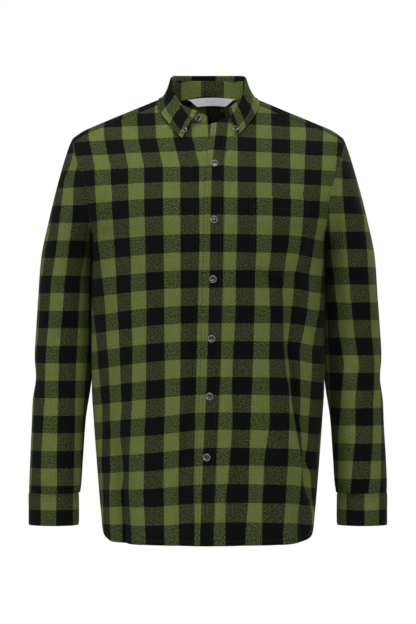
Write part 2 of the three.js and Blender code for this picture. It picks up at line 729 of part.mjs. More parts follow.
function cuff(side) {
  const rows = [];
  for (const z of [CUFF_HEM, (CUFF_HEM + CUFF_TOP) / 2, CUFF_TOP]) {
    const row = [];
    for (let j = 0; j <= CUFF_STEPS; j += 1) {
      const turn = (j / CUFF_STEPS) * (360 + CUFF_LAP);
      const lift = CUFF_LIFT * smooth((turn - CUFF_LIFT_FROM) / CUFF_LIFT_SPAN);
      const p = cuffPoint(side, turn, z, lift);
      const n = vector(p.x - side * CUFF_MIDDLE_X, p.y - CUFF_MIDDLE_Y, 0).normalize();
      row.push({ p, n });
    }
    rows.push(row);
  }
  return wall(rows, WALL);
}

function cuffButtonSeat(side) {
  const turn = 360 + CUFF_LAP / 2;
  const p = cuffPoint(side, turn, (CUFF_HEM + CUFF_TOP) / 2, CUFF_LIFT);
  return { p, n: vector(p.x - side * CUFF_MIDDLE_X, p.y - CUFF_MIDDLE_Y, 0).normalize() };
}

// A pointed strip along the back of the sleeve above the cuff
function sleevePlacket(side) {
  const rows = [];
  const angle = VENT_TURN * DEGREE;
  for (let i = 0; i <= VENT_ROWS; i += 1) {
    const row = [];
    for (let j = 0; j <= 2; j += 1) {
      const point = 1 - Math.abs(j - 1);
      const t = VENT_FOOT - (i / VENT_ROWS) * (VENT_SHARE + VENT_POINT * point);
      const step = ((j - 1) * VENT_WIDTH) / 2 / VENT_RADIUS;
      const p = sleevePoint(side, t, angle + step);
      const n = sleeveOut(side, t, angle + step);
      row.push({ p: p.addScaledVector(n, TRIM_WALL + VENT_EASE), n });
    }
    rows.push(row);
  }
  return wall(rows, TRIM_WALL);
}

function sleeveOut(side, t, angle) {
  const down = SLEEVE_STEP / 2;
  const along = sleevePoint(side, t + down, angle).sub(sleevePoint(side, t - down, angle));
  const round = 0.05;
  const over = sleevePoint(side, t, angle + round).sub(sleevePoint(side, t, angle - round));
  return along.cross(over).multiplyScalar(side).normalize();
}

// Stations of the collar from the wearer's left front end, round the back, to the right front end
function collarStations() {
  const mirror = (row) => ({ ...row, foldX: -row.foldX, edgeX: -row.edgeX });
  const left = [...COLLAR_BACK, ...COLLAR_LEFT].reverse();
  const right = [...COLLAR_BACK.slice(1), ...COLLAR_RIGHT].map(mirror);
  return [...left, ...right].map((row) => {
    const y = row.edgeY === 0 ? depthAt(FRONT, row.edgeX, row.edgeZ) - LEAF_LIFT : row.edgeY;
    return { ...row, edgeY: y };
  });
}

// Section of the fold-over leaf: up from the stand, over the fold and down to the free edge
function leafSection(row) {
  const fold = vector(row.foldX, row.foldY, row.foldZ);
  const edge = vector(row.edgeX, row.edgeY, row.edgeZ);
  const out = vector(edge.x - fold.x, edge.y - fold.y, 0).normalize();
  const at = (run, rise) => fold.clone().addScaledVector(out, run).add(vector(0, 0, rise));
  const points = [
    at(0, -row.rise),
    at(ROLL_SIDE.run, ROLL_SIDE.rise * row.rise),
    at(ROLL_TOP, 0),
    at(ROLL_TURN.run, ROLL_TURN.rise),
  ];
  const begin = at(ROLL_END.run, ROLL_END.rise);
  const belly = begin.clone().add(edge).multiplyScalar(0.5).addScaledVector(out, LEAF_BULGE);
  belly.z += LEAF_BULGE;
  for (let k = 0; k <= LEAF_ROWS; k += 1) {
    const t = k / LEAF_ROWS;
    points.push(begin.clone().multiplyScalar((1 - t) ** 2)
      .addScaledVector(belly, 2 * t * (1 - t))
      .addScaledVector(edge, t * t));
  }
  return points;
}

// Keeps the free leaf off the fronts and the yoke below it
function clearOfBody(p, gap) {
  const y = Math.abs(p.y) < 1 ? -1 : p.y;
  const top = heightAt(p.x, y);
  const n = outward(p.x, y, Math.min(p.z, top));
  const over = (p.z - top) * Math.max(n.z, 0.2);
  return over < gap ? p.addScaledVector(n, gap - over) : p;
}

function leafSheet() {
  const sections = collarStations().map(leafSection);
  const rows = sections[0].map((_, k) => sections.map((points) => {
    const p = points[k];
    return k > LEAF_FREE_ROW ? clearOfBody(p, LEAF_LIFT) : p;
  }));
  return withNormals(rows, false, 1);
}

// A point of a sheet seen from the front, in the plane of its nearest corner
function onSheet(sheet, x, z) {
  const away = ({ p, n }) => Math.hypot(p.x - x, p.z - z) + (n.y > 0 ? 1000 : 0);
  const near = sheet.flat().reduce((a, b) => (away(b) < away(a) ? b : a));
  const { p, n } = near;
  return { p: vector(x, p.y - (n.x * (x - p.x) + n.z * (z - p.z)) / n.y, z), n };
}

// The stand rises from the neck ring; its front ends reach past the leaf and are rounded down
const STAND_LEFT_END = [
  { angle: 6, top: -35, out: 5 },
  { angle: 14, top: -27, out: 4.5 },
  { angle: 23, top: -23, out: 3 },
];
const STAND_RIGHT_END = [
  { angle: -16, top: -25.5, out: 1 },
  { angle: -6, top: -27, out: 1 },
  { angle: 1, top: -35, out: 1 },
];

function standColumns() {
  const columns = STAND_LEFT_END.map(({ angle, top, out }) => {
    const base = neckPoint(angle, SEAM);
    return { base, top: vector(base.x, base.y - out, top) };
  });
  for (const row of collarStations()) {
    const angle = Math.atan2(row.foldX / NECK_HALF, -(row.foldY - NECK_MIDDLE) / NECK_DEPTH) / DEGREE;
    const base = neckPoint(angle, SEAM);
    columns.push({ base, top: vector(row.foldX, row.foldY, row.foldZ - row.rise - SEAM) });
  }
  for (const { angle, top, out } of STAND_RIGHT_END) {
    const base = neckPoint(angle, SEAM);
    columns.push({ base, top: vector(base.x, base.y - out, top) });
  }
  return columns;
}

function standSheet() {
  const columns = standColumns();
  const rows = [0, 0.35, 0.7, 1].map((t) => columns.map(({ base, top }) => {
    const foot = base.clone().add(vector(0, 0, STAND_FOOT));
    return foot.lerp(top, t);
  }));
  return withNormals(rows, false, -1);
}

// The pocket lies on the left front, square at the top and pointed at the bottom
function pocket() {
  const rows = [];
  for (let i = 0; i <= POCKET_STEPS; i += 1) {
    const row = [];
    const v = i / POCKET_STEPS;
    for (let j = 0; j <= POCKET_STEPS; j += 1) {
      const u = j / POCKET_STEPS;
      const foot = lerp(POCKET.side, POCKET.point, 1 - Math.abs(2 * u - 1));
      const z = lerp(lerp(POCKET.topLeft, POCKET.topRight, u), foot, v);
      const x = lerp(POCKET.left, POCKET.right - POCKET_TAPER * v, u);
      row.push(bodyPoint(FRONT, x, z, lapLift(x, z) + LAYER + TRIM_WALL + POCKET_EASE));
    }
    rows.push(row);
  }
  return wall(rows, TRIM_WALL);
}

// A blank woven label under the stand inside the back neck
function neckLabel() {
  const rows = [];
  for (let i = 0; i <= 2; i += 1) {
    const row = [];
    for (let j = -4; j <= 4; j += 1) {
      const x = (j / 4) * LABEL.half;
      const z = LABEL.top - (x / LABEL.half) ** 2 * LABEL.droop - (i / 2) * LABEL.height;
      const y = NECK_MIDDLE + (NECK_DEPTH - LABEL.inset) * Math.sqrt(1 - (x / NECK_HALF) ** 2) - i * LABEL.tilt;
      row.push({ p: vector(x, y, z), n: vector(0, 1, 0) });
    }
    rows.push(row);
  }
  return wall(rows, LABEL_WALL);
}

// Rimmed button with a sunk face, its back at the origin and its face up
function buttonShape(radius) {
  const rim = radius * 0.78;
  const profile = [
    [0, 0], [radius * 0.7, 0], [radius, BUTTON_THICK * 0.35], [radius, BUTTON_THICK * 0.7],
    [radius * 0.92, BUTTON_THICK], [rim, BUTTON_THICK], [radius * 0.6, BUTTON_THICK * 0.72],
    [0, BUTTON_THICK * 0.66],
  ];
  const shape = profile.map(([r, y]) => new THREE.Vector2(r, y));
  const geometry = new THREE.LatheGeometry(shape, BUTTON_SEGMENTS);
  geometry.rotateX(Math.PI / 2);
  return geometry;
}

const cloth = (color) => new THREE.MeshStandardMaterial({ color, roughness: 0.95, metalness: 0 });
const GREEN = cloth(0x5c6636);
const DARK = cloth(0x1b1c1c);
const LABEL_CLOTH = cloth(0xb4b4bc);
const BUTTON_SHINE = new THREE.MeshStandardMaterial({ color: 0x4a4642, roughness: 0.3, metalness: 0 });

const shirt = new THREE.Group();

function add(name, geometry, material) {
  const mesh = new THREE.Mesh(geometry, material);
  mesh.name = name;
  shirt.add(mesh);
  return mesh;
}

function addButton(name, radius, { p, n }) {
  const button = add(name, buttonShape(radius), BUTTON_SHINE);
  button.quaternion.setFromUnitVectors(vector(0, 0, 1), n);
  button.position.copy(p).addScaledVector(n, BUTTON_GAP);
}

add('front_left', frontLeft(), GREEN);
add('front_right', frontRight(), GREEN);
add('placket', placket(), DARK);
add('back', backPanel(), GREEN);
add('yoke', yoke(), DARK);
for (const [name, side] of [['left', 1], ['right', -1]]) {
  add(`sleeve_${name}`, wall(sleeveRows(side), WALL, true), GREEN);
  add(`cuff_${name}`, cuff(side), DARK);
  add(`sleeve_placket_${name}`, sleevePlacket(side), DARK);
}
const stand = standSheet();
const leaf = leafSheet();
add('collar_stand', wall(stand, STAND_WALL), DARK);
add('collar_leaf', wall(leaf, WALL), GREEN);
add('pocket', pocket(), DARK);
add('neck_label', neckLabel(), LABEL_CLOTH);

BUTTON_LEVELS.forEach((z, k) => {
  addButton(`button_front_${k + 1}`, BUTTON_RADIUS, bodyPoint(FRONT, frontLine(z), z, PLACKET_LIFT));
});
addButton('button_stand', BUTTON_RADIUS * STAND_BUTTON_SHARE, onSheet(stand, STAND_BUTTON.x, STAND_BUTTON.z));
for (const { name, x, z } of COLLAR_BUTTONS) {
  addButton(`button_collar_${name}`, SMALL_BUTTON_RADIUS, onSheet(leaf, x, z));
}
for (const [name, side] of [['left', 1], ['right', -1]]) {
  addButton(`button_cuff_${name}`, SMALL_BUTTON_RADIUS, cuffButtonSeat(side));
}

export default shirt;
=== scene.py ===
"""Worn, hollow flannel shirt with a button down collar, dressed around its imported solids.

Lengths are in millimetres until a mesh is made, and metres from there on.
"""
import bpy
import math
import numpy as np
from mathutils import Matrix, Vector


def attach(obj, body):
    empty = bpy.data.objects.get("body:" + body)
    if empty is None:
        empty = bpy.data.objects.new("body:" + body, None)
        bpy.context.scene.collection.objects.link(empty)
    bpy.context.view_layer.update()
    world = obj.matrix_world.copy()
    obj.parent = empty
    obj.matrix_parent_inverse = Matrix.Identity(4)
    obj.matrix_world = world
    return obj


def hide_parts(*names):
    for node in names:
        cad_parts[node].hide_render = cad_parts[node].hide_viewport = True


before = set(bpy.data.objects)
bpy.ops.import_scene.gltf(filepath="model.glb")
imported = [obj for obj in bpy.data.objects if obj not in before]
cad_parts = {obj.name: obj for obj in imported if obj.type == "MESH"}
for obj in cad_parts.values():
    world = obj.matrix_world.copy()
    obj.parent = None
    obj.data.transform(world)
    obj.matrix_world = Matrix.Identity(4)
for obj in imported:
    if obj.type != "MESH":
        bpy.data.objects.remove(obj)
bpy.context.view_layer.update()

MM = 0.001

# Photograph and camera: far in front, level, aimed between collar and hem
IMAGE_WIDTH = 416
CAMERA_DISTANCE = 5000
CAMERA_LEVEL = -363
MM_PER_PIXEL = 1.72
SENSOR = 36
FLOOR_LEVEL = -1300
FLOOR_RADIUS = 2600

# Cloth
THICK = 1.0
TRIM = 0.9
DOUBLE = 1.5
LABEL_THICK = 0.6
LAYER = 0.3
LAP_LIFT = 1.9
SEAM_DIP = 1.0
DIP_START = 0.5
DIP_SPAN = 4
PLACKET_LIFT = 2.5
CHECK = 60.0
ROW = 61.0

# Body form, as in the solids
SHAPE_POWER = 2.3
RIDGE_TOP = 12
RIDGE_SLOPE = 0.415
RIDGE_FLAT_X = 30
RIDGE_EASE = 64
SHOULDER_ROUND_X = 205
SHOULDER_ROUND = 0.008
FRONT_FALL = 240
FRONT_POWER = 1.9
BACK_FALL = 200
BACK_POWER = 2.2
SOFT_NECK = 5
SOFT_TIP = 38
SOFT_FROM = 110
SOFT_SPAN = 120
BACK_NECK_RISE = 40
BACK_NECK_REACH = 60
UNDERARM = -232
SHOULDER_TIP = 232
NECK_HALF = 62
NECK_MIDDLE = -2
NECK_DEPTH = 62
NECK_CORNER = 82
YOKE_DROP = 9
YOKE_LEVEL = -95
HEM_FRONT = -755
HEM_BACK = -759
HEM_RISE = 33
HEM_POWER = 7
PLACKET_WIDTH = 32
LAP_EASE = 46
LEFT_ANGLE = 34
RIGHT_ANGLE = -24
PLACKET_ANGLE = 5
SEAM = 0.4
SLOPE_STEP = 0.6
FOLD_FADE = 24
TROUGH_SHARP = 1.4
CREASE_FADE = 14
UNDERARM_FADE = 60
SIDE_TOP = 0.98

# level, half width, depth before and depth behind the side line
BODY_SECTIONS = np.array([
    (-780, 181, 136, 136), (-735, 181.5, 137, 137), (-685, 186, 138, 138), (-616, 191.5, 139, 139),
    (-547, 196.5, 140, 138), (-500, 199.5, 141, 137), (-400, 200.5, 144, 136), (-300, 200.5, 148, 137),
    (-232, 201, 149, 138), (-215, 213, 149, 138), (-190, 233, 149, 138), (-163, 253, 148, 138),
    (-135, 264, 148, 138), (-100, 268, 148, 138), (60, 268, 148, 138),
])
# level, reach of the armhole seam
ARMHOLE = np.array([
    (-232, 201), (-215, 201.8), (-190, 203.5), (-163, 207.5), (-141, 213.5), (-113, 222), (-90, 229),
    (-73, 232), (0, 232),
])
# level, middle of the placket
FRONT_LINE = np.array([
    (-800, -8), (-755, -7.5), (-605, -2.3), (-504, 2.6), (-407, 5.8), (-308, 8.2), (-209, 10),
    (-117, 11), (-40, 18), (0, 20),
])
# level, row of the check there, counted up from the hem
ROW_LEVELS = np.array([
    (-800, -12.5), (-731.5, -12), (-426.5, -7), (-248, -4), (-185.6, -3), (-131, -2), (-79, -1), (-32, 0),
    (12, 1),
])
# level, how far the rows hang lower 143 mm out from the middle on the wearer's right and left
ROW_DROOP = np.array([
    (-800, 2, 3), (-740, 5, 4), (-675, 9.5, 4), (-600, 12.5, 3), (-514, 12, 3), (-400, 10.5, 1),
    (-310, 8.5, 1), (-240, 6.5, 2), (-130, 3, 3), (0, 3, 3),
])
DROOP_REACH = 143
# How much lower still the rows hang at the left side, and between middle and side on the right
LEFT_SIDE_DROOP = 7
RIGHT_DIP = 4.5

# Where the edges of the check's columns lie on each front: a level, and distances out from the middle.
# The columns bunch at the side folds and lean at the open neck.
COLUMN_EDGES = (-16.25, 16.25, 43.75, 76.25, 103.75, 136.25, 163.75, 196.25, 223.75)
LEFT_COLUMNS = (
    (-737, (29, 63.5, 91, 125, 153, 180, 183, 192, 210)),
    (-682, (29, 68.5, 91, 129, 158, 177, 180, 190, 206)),
    (-613, (36, 70, 94, 134, 158, 166, 169, 187, 204)),
    (-548, (41, 71, 103, 137, 150, 160, 171, 194, 216)),
    (-488, (40, 74, 103, 137, 146, 158, 175, 197, 220)),
    (-428, (42, 76, 103, 130, 139, 156, 178, 199, 222)),
    (-366, (46, 78, 105, 127, 142, 168, 189, 212, 235)),
    (-298, (46, 79, 101, 127, 146, 173, 194, 220, 246)),
    (-248, (48, 81, 106, 134, 154, 179, 203, 232, 260)),
    (-200, (49, 81, 107, 138, 159, 188, 212, 240, 267)),
    (-60, (50, 82, 108, 140, 167, 197, 222, 250, 276)),
)
RIGHT_COLUMNS = (
    (-740, (22, 49, 74, 107, 131, 153, 165, 178, 192)),
    (-670, (24, 50, 75, 110, 136, 157, 167, 180, 194)),
    (-610, (23, 49, 75, 108, 134, 152, 168, 180, 197)),
    (-525, (21, 47, 72, 105, 127, 145, 165, 179, 200)),
    (-400, (18, 46, 73, 104, 128, 150, 172, 190, 214)),
    (-248, (14, 46, 74, 105, 131, 158, 187, 214, 240)),
    (-118, (15, 47, 76, 108, 135, 165, 192, 220, 250)),
    (-66, (27, 59, 88, 119, 146, 177, 204, 232, 260)),
    (-20, (30, 62, 91, 122, 149, 180, 207, 235, 263)),
)


def through(rows, column=1):
    """A smooth curve through a table, from its first column to another."""
    xs, ys = rows[:, 0].astype(float), rows[:, column].astype(float)
    left = np.maximum(np.arange(len(xs)) - 1, 0)
    right = np.minimum(np.arange(len(xs)) + 1, len(xs) - 1)
    slopes = (ys[right] - ys[left]) / (xs[right] - xs[left])

    def curve(x):
        x = np.asarray(x, float)
        i = np.clip(np.searchsorted(xs, x, side="left") - 1, 0, len(xs) - 2)
        span = xs[i + 1] - xs[i]
        t = np.clip((x - xs[i]) / span, 0, 1)
        bend = t * (1 - t) * span * ((1 - t) * slopes[i] - t * slopes[i + 1])
        return ys[i] + (ys[i + 1] - ys[i]) * t * t * (3 - 2 * t) + bend

    return curve


body_width = through(BODY_SECTIONS, 1)
front_depth = through(BODY_SECTIONS, 2)
back_depth = through(BODY_SECTIONS, 3)
armhole_reach = through(ARMHOLE)
front_line = through(FRONT_LINE)
row_at = through(ROW_LEVELS)
droop_right = through(ROW_DROOP, 1)
droop_left = through(ROW_DROOP, 2)


def lerp(a, b, t):
    return a + (b - a) * t


def smooth(t):
    u = np.clip(t, 0, 1)
    return u * u * (3 - 2 * u)


def unit(v):
    return v / np.maximum(np.linalg.norm(v, axis=-1, keepdims=True), 1e-9)


def stack(*parts):
    return np.stack(np.broadcast_arrays(*parts), axis=-1).astype(float)


def ridge(x):
    a = np.abs(x)
    ease = np.maximum(a - RIDGE_FLAT_X, 0) ** 2 / (2 * RIDGE_EASE)
    run = np.where(a < RIDGE_FLAT_X + RIDGE_EASE, ease, a - RIDGE_FLAT_X - RIDGE_EASE / 2)
    return RIDGE_TOP - RIDGE_SLOPE * run - SHOULDER_ROUND * np.maximum(a - SHOULDER_ROUND_X, 0) ** 2


def softness(x):
    return lerp(SOFT_NECK, SOFT_TIP, smooth((np.abs(x) - SOFT_FROM) / SOFT_SPAN))


def neck_rise(x, y):
    inside = np.maximum(1 - (x / NECK_HALF) ** 2, 0)
    behind = np.clip((y - NECK_DEPTH) / BACK_NECK_REACH, 0, 1)
    return np.where(y > 0, BACK_NECK_RISE * inside ** 1.2 * (1 - behind ** 2) ** 2, 0)


def side_values(sign):
    """Depth curve, fall and power of the front (-1) or back (1) half."""
    if sign < 0:
        return front_depth, FRONT_FALL, FRONT_POWER
    return back_depth, BACK_FALL, BACK_POWER


def share(sign, x, z):
    """How much of the full depth the form has at a level, from 0 at the ridge to 1."""
    _, fall, power = side_values(sign)
    drop = np.maximum(ridge(x) - z, 0)
    q = np.minimum(np.sqrt(drop * (drop + 2 * softness(x))) / fall, 1)
    return 1 - (1 - q) ** power


def across(x, z):
    return np.maximum(1 - np.abs(x / body_width(z)) ** SHAPE_POWER, 0) ** (1 / SHAPE_POWER)


def depth_at(sign, x, z):
    depth, _, _ = side_values(sign)
    return sign * depth(z) * across(x, z) * share(sign, x, z)


def height_half(sign, x, y):
    depth, fall, power = side_values(sign)
    level = UNDERARM / 4
    part = np.clip(np.abs(y) / (depth(level) * across(x, level)), 0, SIDE_TOP)
    q = (1 - (1 - part) ** (1 / power)) * fall
    soft = softness(x)
    return ridge(x) + soft - np.sqrt(soft ** 2 + q * q) + neck_rise(x, y)


def height_at(x, y):
    x, y = np.asarray(x, float), np.asarray(y, float)
    return np.where(y < 0, height_half(-1, x, y), height_half(1, x, y))


def field_half(sign, x, y, z):
    depth, _, _ = side_values(sign)
    reach = across(x, z) * share(sign, x, z - neck_rise(x, y))
    return (y / depth(z)) ** 2 - reach ** 2


def outward(x, y, z):
    """Outward direction of the body form."""
    x, y, z = np.broadcast_arrays(np.asarray(x, float), y, z)
    h = SLOPE_STEP
    parts = []
    for sign in (-1, 1):
        parts.append(stack(
            field_half(sign, x + h, y, z) - field_half(sign, x - h, y, z),
            field_half(sign, x, y + h, z) - field_half(sign, x, y - h, z),
            field_half(sign, x, y, z + h) - field_half(sign, x, y, z - h)))
    return unit(np.where((y < 0)[..., None], parts[0], parts[1]))


# Folds of the fronts and the back, in front view: both ends, half width and depth of the trough.
# Those with a depth below zero are ridges.
FRONT_FOLDS = [
    (124, -322, 154, -640, 26, 5),
    (154, -600, 172, -760, 24, 6),
    (112, -470, 132, -760, 20, -4),
    (-160, -545, -150, -760, 24, 9),
    (-178, -560, -176, -640, 16, -3),
    (-22, -270, -30, -640, 20, 3.5),
    (-70, -560, -78, -760, 34, 3.5),
    (62, -560, 70, -760, 34, 3.5),
]
# Smaller creases, as the folds
FRONT_CREASES = [
    (72, -284, 122, -330, 10, 2.6),
    (-26, -60, -6, -118, 7, 2.6),
    (-44, -84, -10, -160, 8, 2.6),
    (-58, -96, -18, -205, 10, 2.2),
    (-34, -66, -10, -140, 6, -1.6),
    (34, -60, 27, -118, 6, 2.2),
    (50, -84, 32, -190, 8, 1.8),
    (-88, -280, -128, -460, 14, 1.8),
    (40, -300, 48, -520, 12, 2.0),
    (-60, -330, -64, -540, 11, 1.8),
    (-122, -250, -150, -330, 12, 1.8),
    (160, -250, 176, -330, 10, 2.2),
    (-195, -190, -150, -150, 11, 2.2),
    (-196, -215, -158, -196, 9, 1.6),
    (196, -192, 150, -158, 11, 2.0),
    (196, -214, 162, -200, 9, 1.4),
    (-150, -118, -196, -92, 14, 1.6),
    (150, -112, 200, -90, 14, 1.6),
    (-176, -300, -180, -420, 12, 1.8),
    (182, -330, 180, -470, 12, 2.0),
    (-110, -430, -98, -560, 15, 1.2),
    (88, -350, 96, -470, 14, 1.2),
    (36, -640, 44, -752, 16, 1.6),
    (-48, -660, -44, -752, 14, 1.4),
    (-118, -650, -112, -752, 14, 1.8),
]
BACK_FOLDS = [
    (-62, -330, -96, -760, 27, 11),
    (50, -360, 92, -760, 25, 10),
    (-8, -430, 6, -760, 29, 8),
    (-150, -430, -158, -760, 21, 9),
    (150, -400, 154, -760, 21, 9),
]
BACK_CREASES = [
    (-70, -340, -82, -520, 9, 3),
    (58, -380, 70, -560, 9, 3),
    (-4, -450, 2, -600, 10, 2.2),
    (-196, -210, -140, -170, 12, 2.4),
    (196, -210, 144, -176, 12, 2.2),
    (-120, -150, -70, -300, 16, 1.6),
    (118, -150, 76, -310, 16, 1.6),
    (-150, -440, -154, -620, 10, 2.5),
    (146, -420, 150, -600, 10, 2.5),
    (30, -600, 36, -755, 13, 2),
    (-50, -620, -56, -755, 13, 2),
]

# Standing folds, by level: the place where the crest drops into its valley, how high and how deep they are
FRONT_STANDING = [
    [(-790, 196, 2, 3), (-711, 182, 3, 5), (-685, 173, 4.5, 6.5), (-600, 158, 6, 8), (-497, 142, 5.5, 8),
     (-411, 131, 4, 6.5), (-340, 126, 2.5, 4), (-296, 100, 1.2, 1.6), (-270, 84, 0, 0)],
    [(-790, -153, 4, 4), (-720, -156, 6, 6.5), (-650, -161, 6.5, 7.5), (-590, -165, 4.5, 5),
     (-540, -170, 0, 0)],
    [(-790, -176, 1.5, 2), (-720, -180, 2.5, 3), (-680, -183.5, 3.5, 4.5), (-640, -180, 4, 5),
     (-600, -180.5, 3.5, 5), (-570, -185, 2, 3), (-540, -190, 0, 0)],
    [(-790, 54, 0.8, 1.2), (-690, 48, 1.6, 2), (-560, 44, 1.6, 2), (-440, 48, 1.2, 1.4),
     (-330, 56, 0, 0)],
    [(-790, -58, 1.2, 1.6), (-660, -50, 2, 2.4), (-520, -34, 2, 2.6), (-380, -24, 1.8, 2.2),
     (-270, -18, 0, 0)],
    [(-790, 112, 1.2, 1.2), (-700, 108, 2, 2), (-610, 98, 1.6, 1.8), (-520, 92, 0, 0)],
    [(-790, -108, 1.4, 1.8), (-690, -112, 2, 2.4), (-580, -118, 1.6, 2), (-470, -126, 1.4, 1.6),
     (-390, -134, 0, 0)],
]
BACK_STANDING = [
    [(-790, -98, 3, 5), (-680, -92, 4.5, 7), (-560, -82, 4.5, 6), (-450, -72, 2.5, 3.5), (-370, -66, 0, 0)],
    [(-790, 92, 3, 5), (-660, 86, 5, 7), (-540, 74, 4, 5.5), (-430, 62, 2, 3), (-380, 54, 0, 0)],
    [(-790, 8, 2.5, 4), (-690, 2, 3.5, 5), (-580, -6, 3, 4), (-470, -4, 0, 0)],
    [(-790, 152, 2.5, 4), (-640, 148, 4, 6), (-520, 150, 3, 4), (-430, 156, 0, 0)],
    [(-790, -146, 2.5, 4), (-650, -148, 4, 6), (-500, -142, 3, 4.5), (-400, -134, 0, 0)],
]
CREST_HALF = 9
VALLEY_HALF = 7


def fold_curves(folds):
    """Curves by level of each fold's place, crest and valley, and the level where it ends."""
    curves = []
    for fold in folds:
        rows = np.array(fold)
        curves.append((through(rows, 1), through(rows, 2), through(rows, 3), rows[-1, 0]))
    return curves


STANDING = {-1: fold_curves(FRONT_STANDING), 1: fold_curves(BACK_STANDING)}


def standing(sign, x, z):
    total = 0
    for place, crest, valley, top in STANDING[sign]:
        off = x - place(z)
        high = np.exp(-((off + CREST_HALF * 0.8) / CREST_HALF) ** 2) * crest(z)
        deep = np.exp(-((off - VALLEY_HALF * 0.8) / VALLEY_HALF) ** 2) * valley(z)
        total = total + np.where(z < top, high - deep, 0)
    return total


def trough(folds, x, z):
    total = 0
    for x0, z0, x1, z1, half, deep in folds:
        dx, dz = x1 - x0, z1 - z0
        t = np.clip(((x - x0) * dx + (z - z0) * dz) / (dx * dx + dz * dz), 0, 1)
        away = np.hypot(x - x0 - dx * t, z - z0 - dz * t) / half
        ends = smooth(t * 3) * smooth((1 - t) * 3 + (1 if z1 < -750 else 0))
        total = total - deep * np.exp(-away * away * TROUGH_SHARP) * ends
    return total


def unevenness(x, z, seed):
    """Low, slow waves that keep large areas from being perfect."""
    a = np.sin(x / 37 + seed) * np.sin(z / 61 + 1.7 * seed)
    b = np.sin((x + z) / 53 + 2.1 * seed) * np.sin((x - 1.4 * z) / 83 + seed)
    c = np.sin(x / 19 + z / 71 + seed * 3.3) * 0.35
    return 0.55 * a + 0.7 * b + 0.3 * c


def body_relief(sign, x, z):
    folds = FRONT_FOLDS if sign < 0 else BACK_FOLDS
    creases = FRONT_CREASES if sign < 0 else BACK_CREASES
    from_side = body_width(z) - np.abs(x)
    fade = smooth(from_side / FOLD_FADE) * smooth((UNDERARM - z) / UNDERARM_FADE + 1)
    fine = trough(creases, x, z) + standing(sign, x, z) + 0.8 * unevenness(x, z, 2 + sign)
    return trough(folds, x, z) * fade + fine * smooth(from_side / CREASE_FADE)


def body_point(sign, x, z, lift=0.0):
    """Point of the cloth of a front (-1) or the back (1), and its outward direction."""
    y = depth_at(sign, x, z)
    y = sign * np.maximum(np.abs(y), SEAM / 2)
    n = outward(x, y, z)
    p = stack(x, y, z) + n * (body_relief(sign, x, z) + lift)[..., None]
    return p, n


def lap_lift(x, z):
    """How far the left front stands out where it laps over the right one, with a dip at the placket."""
    edge = front_line(z) + PLACKET_WIDTH / 2
    dip = SEAM_DIP * (1 - smooth((x - edge - DIP_START) / DIP_SPAN))
    return LAP_LIFT * (1 - smooth((x - edge) / LAP_EASE)) - dip


def arc_across(sign, x, z):
    """Length of cloth from the middle to x, at one level of the smooth form."""
    x, z = np.broadcast_arrays(np.asarray(x, float), z)
    steps = 48
    total = np.zeros_like(x)
    before_x = np.zeros_like(x)
    before_y = depth_at(sign, before_x, z)
    for k in range(1, steps + 1):
        now_x = x * (1 - (1 - k / steps) ** 2)
        now_y = depth_at(sign, now_x, z)
        total = total + np.hypot(now_x - before_x, now_y - before_y)
        before_x, before_y = now_x, now_y
    return np.sign(x) * total


def neck_point(angle, inset=0.0):
    a = np.radians(angle)
    x = (NECK_HALF - inset) * np.sin(a)
    y = NECK_MIDDLE - (NECK_DEPTH - inset) * np.cos(a)
    return stack(x, y, height_at(x, y))


def swing(x, z):
    """Angle round the body at x, by which columns are spread evenly; unswing turns it back."""
    return np.sign(x) * np.arcsin(np.clip(np.abs(x) / body_width(z), 0, 1) ** (SHAPE_POWER / 2))


def unswing(a, z):
    return np.sign(a) * body_width(z) * np.abs(np.sin(a)) ** (2 / SHAPE_POWER)


def edge_reach(z):
    z = np.asarray(z, float)
    return np.where(z > UNDERARM, np.minimum(armhole_reach(z), body_width(z)), body_width(z))


# Meshes


def make_mesh(name, points, faces, uvs=None):
    """A mesh object in metres; uvs holds one pair for each corner of each face."""
    mesh = bpy.data.meshes.new(name)
    mesh.from_pydata((np.asarray(points) * MM).tolist(), [], faces)
    if uvs is not None:
        layer = mesh.uv_layers.new(name="cloth")
        layer.data.foreach_set("uv", np.asarray(uvs, np.float32).ravel())
    mesh.validate()
    mesh.update()
    mesh.shade_smooth()
    mesh.set_sharp_from_angle(angle=math.radians(50))
    obj = bpy.data.objects.new(name, mesh)
    bpy.context.scene.collection.objects.link(obj)
    return obj


def shell_cells(high, wide, ring):
    """Corners of the quads of a closed shell, each as row, column and side: 0 outer, 1 inner."""
    last = wide if ring else wide - 1
    i, j = (k.ravel() for k in np.meshgrid(np.arange(high - 1), np.arange(last), indexing="ij"))
    cells = [
        [(i, j, 0), (i, j + 1, 0), (i + 1, j + 1, 0), (i + 1, j, 0)],
        [(i, j, 1), (i + 1, j, 1), (i + 1, j + 1, 1), (i, j + 1, 1)],
    ]
    j = np.arange(last)
    for row, flip in ((0, False), (high - 1, True)):
        r = np.full(last, row)
        edge = [(r, j, 0), (r, j, 1), (r, j + 1, 1), (r, j + 1, 0)]
        cells.append(edge[::-1] if flip else edge)
    if not ring:
        i = np.arange(high - 1)
        for column, flip in ((0, False), (wide - 1, True)):
            c = np.full(high - 1, column)
            edge = [(i, c, 0), (i + 1, c, 0), (i + 1, c, 1), (i, c, 1)]
            cells.append(edge[::-1] if flip else edge)
    return cells


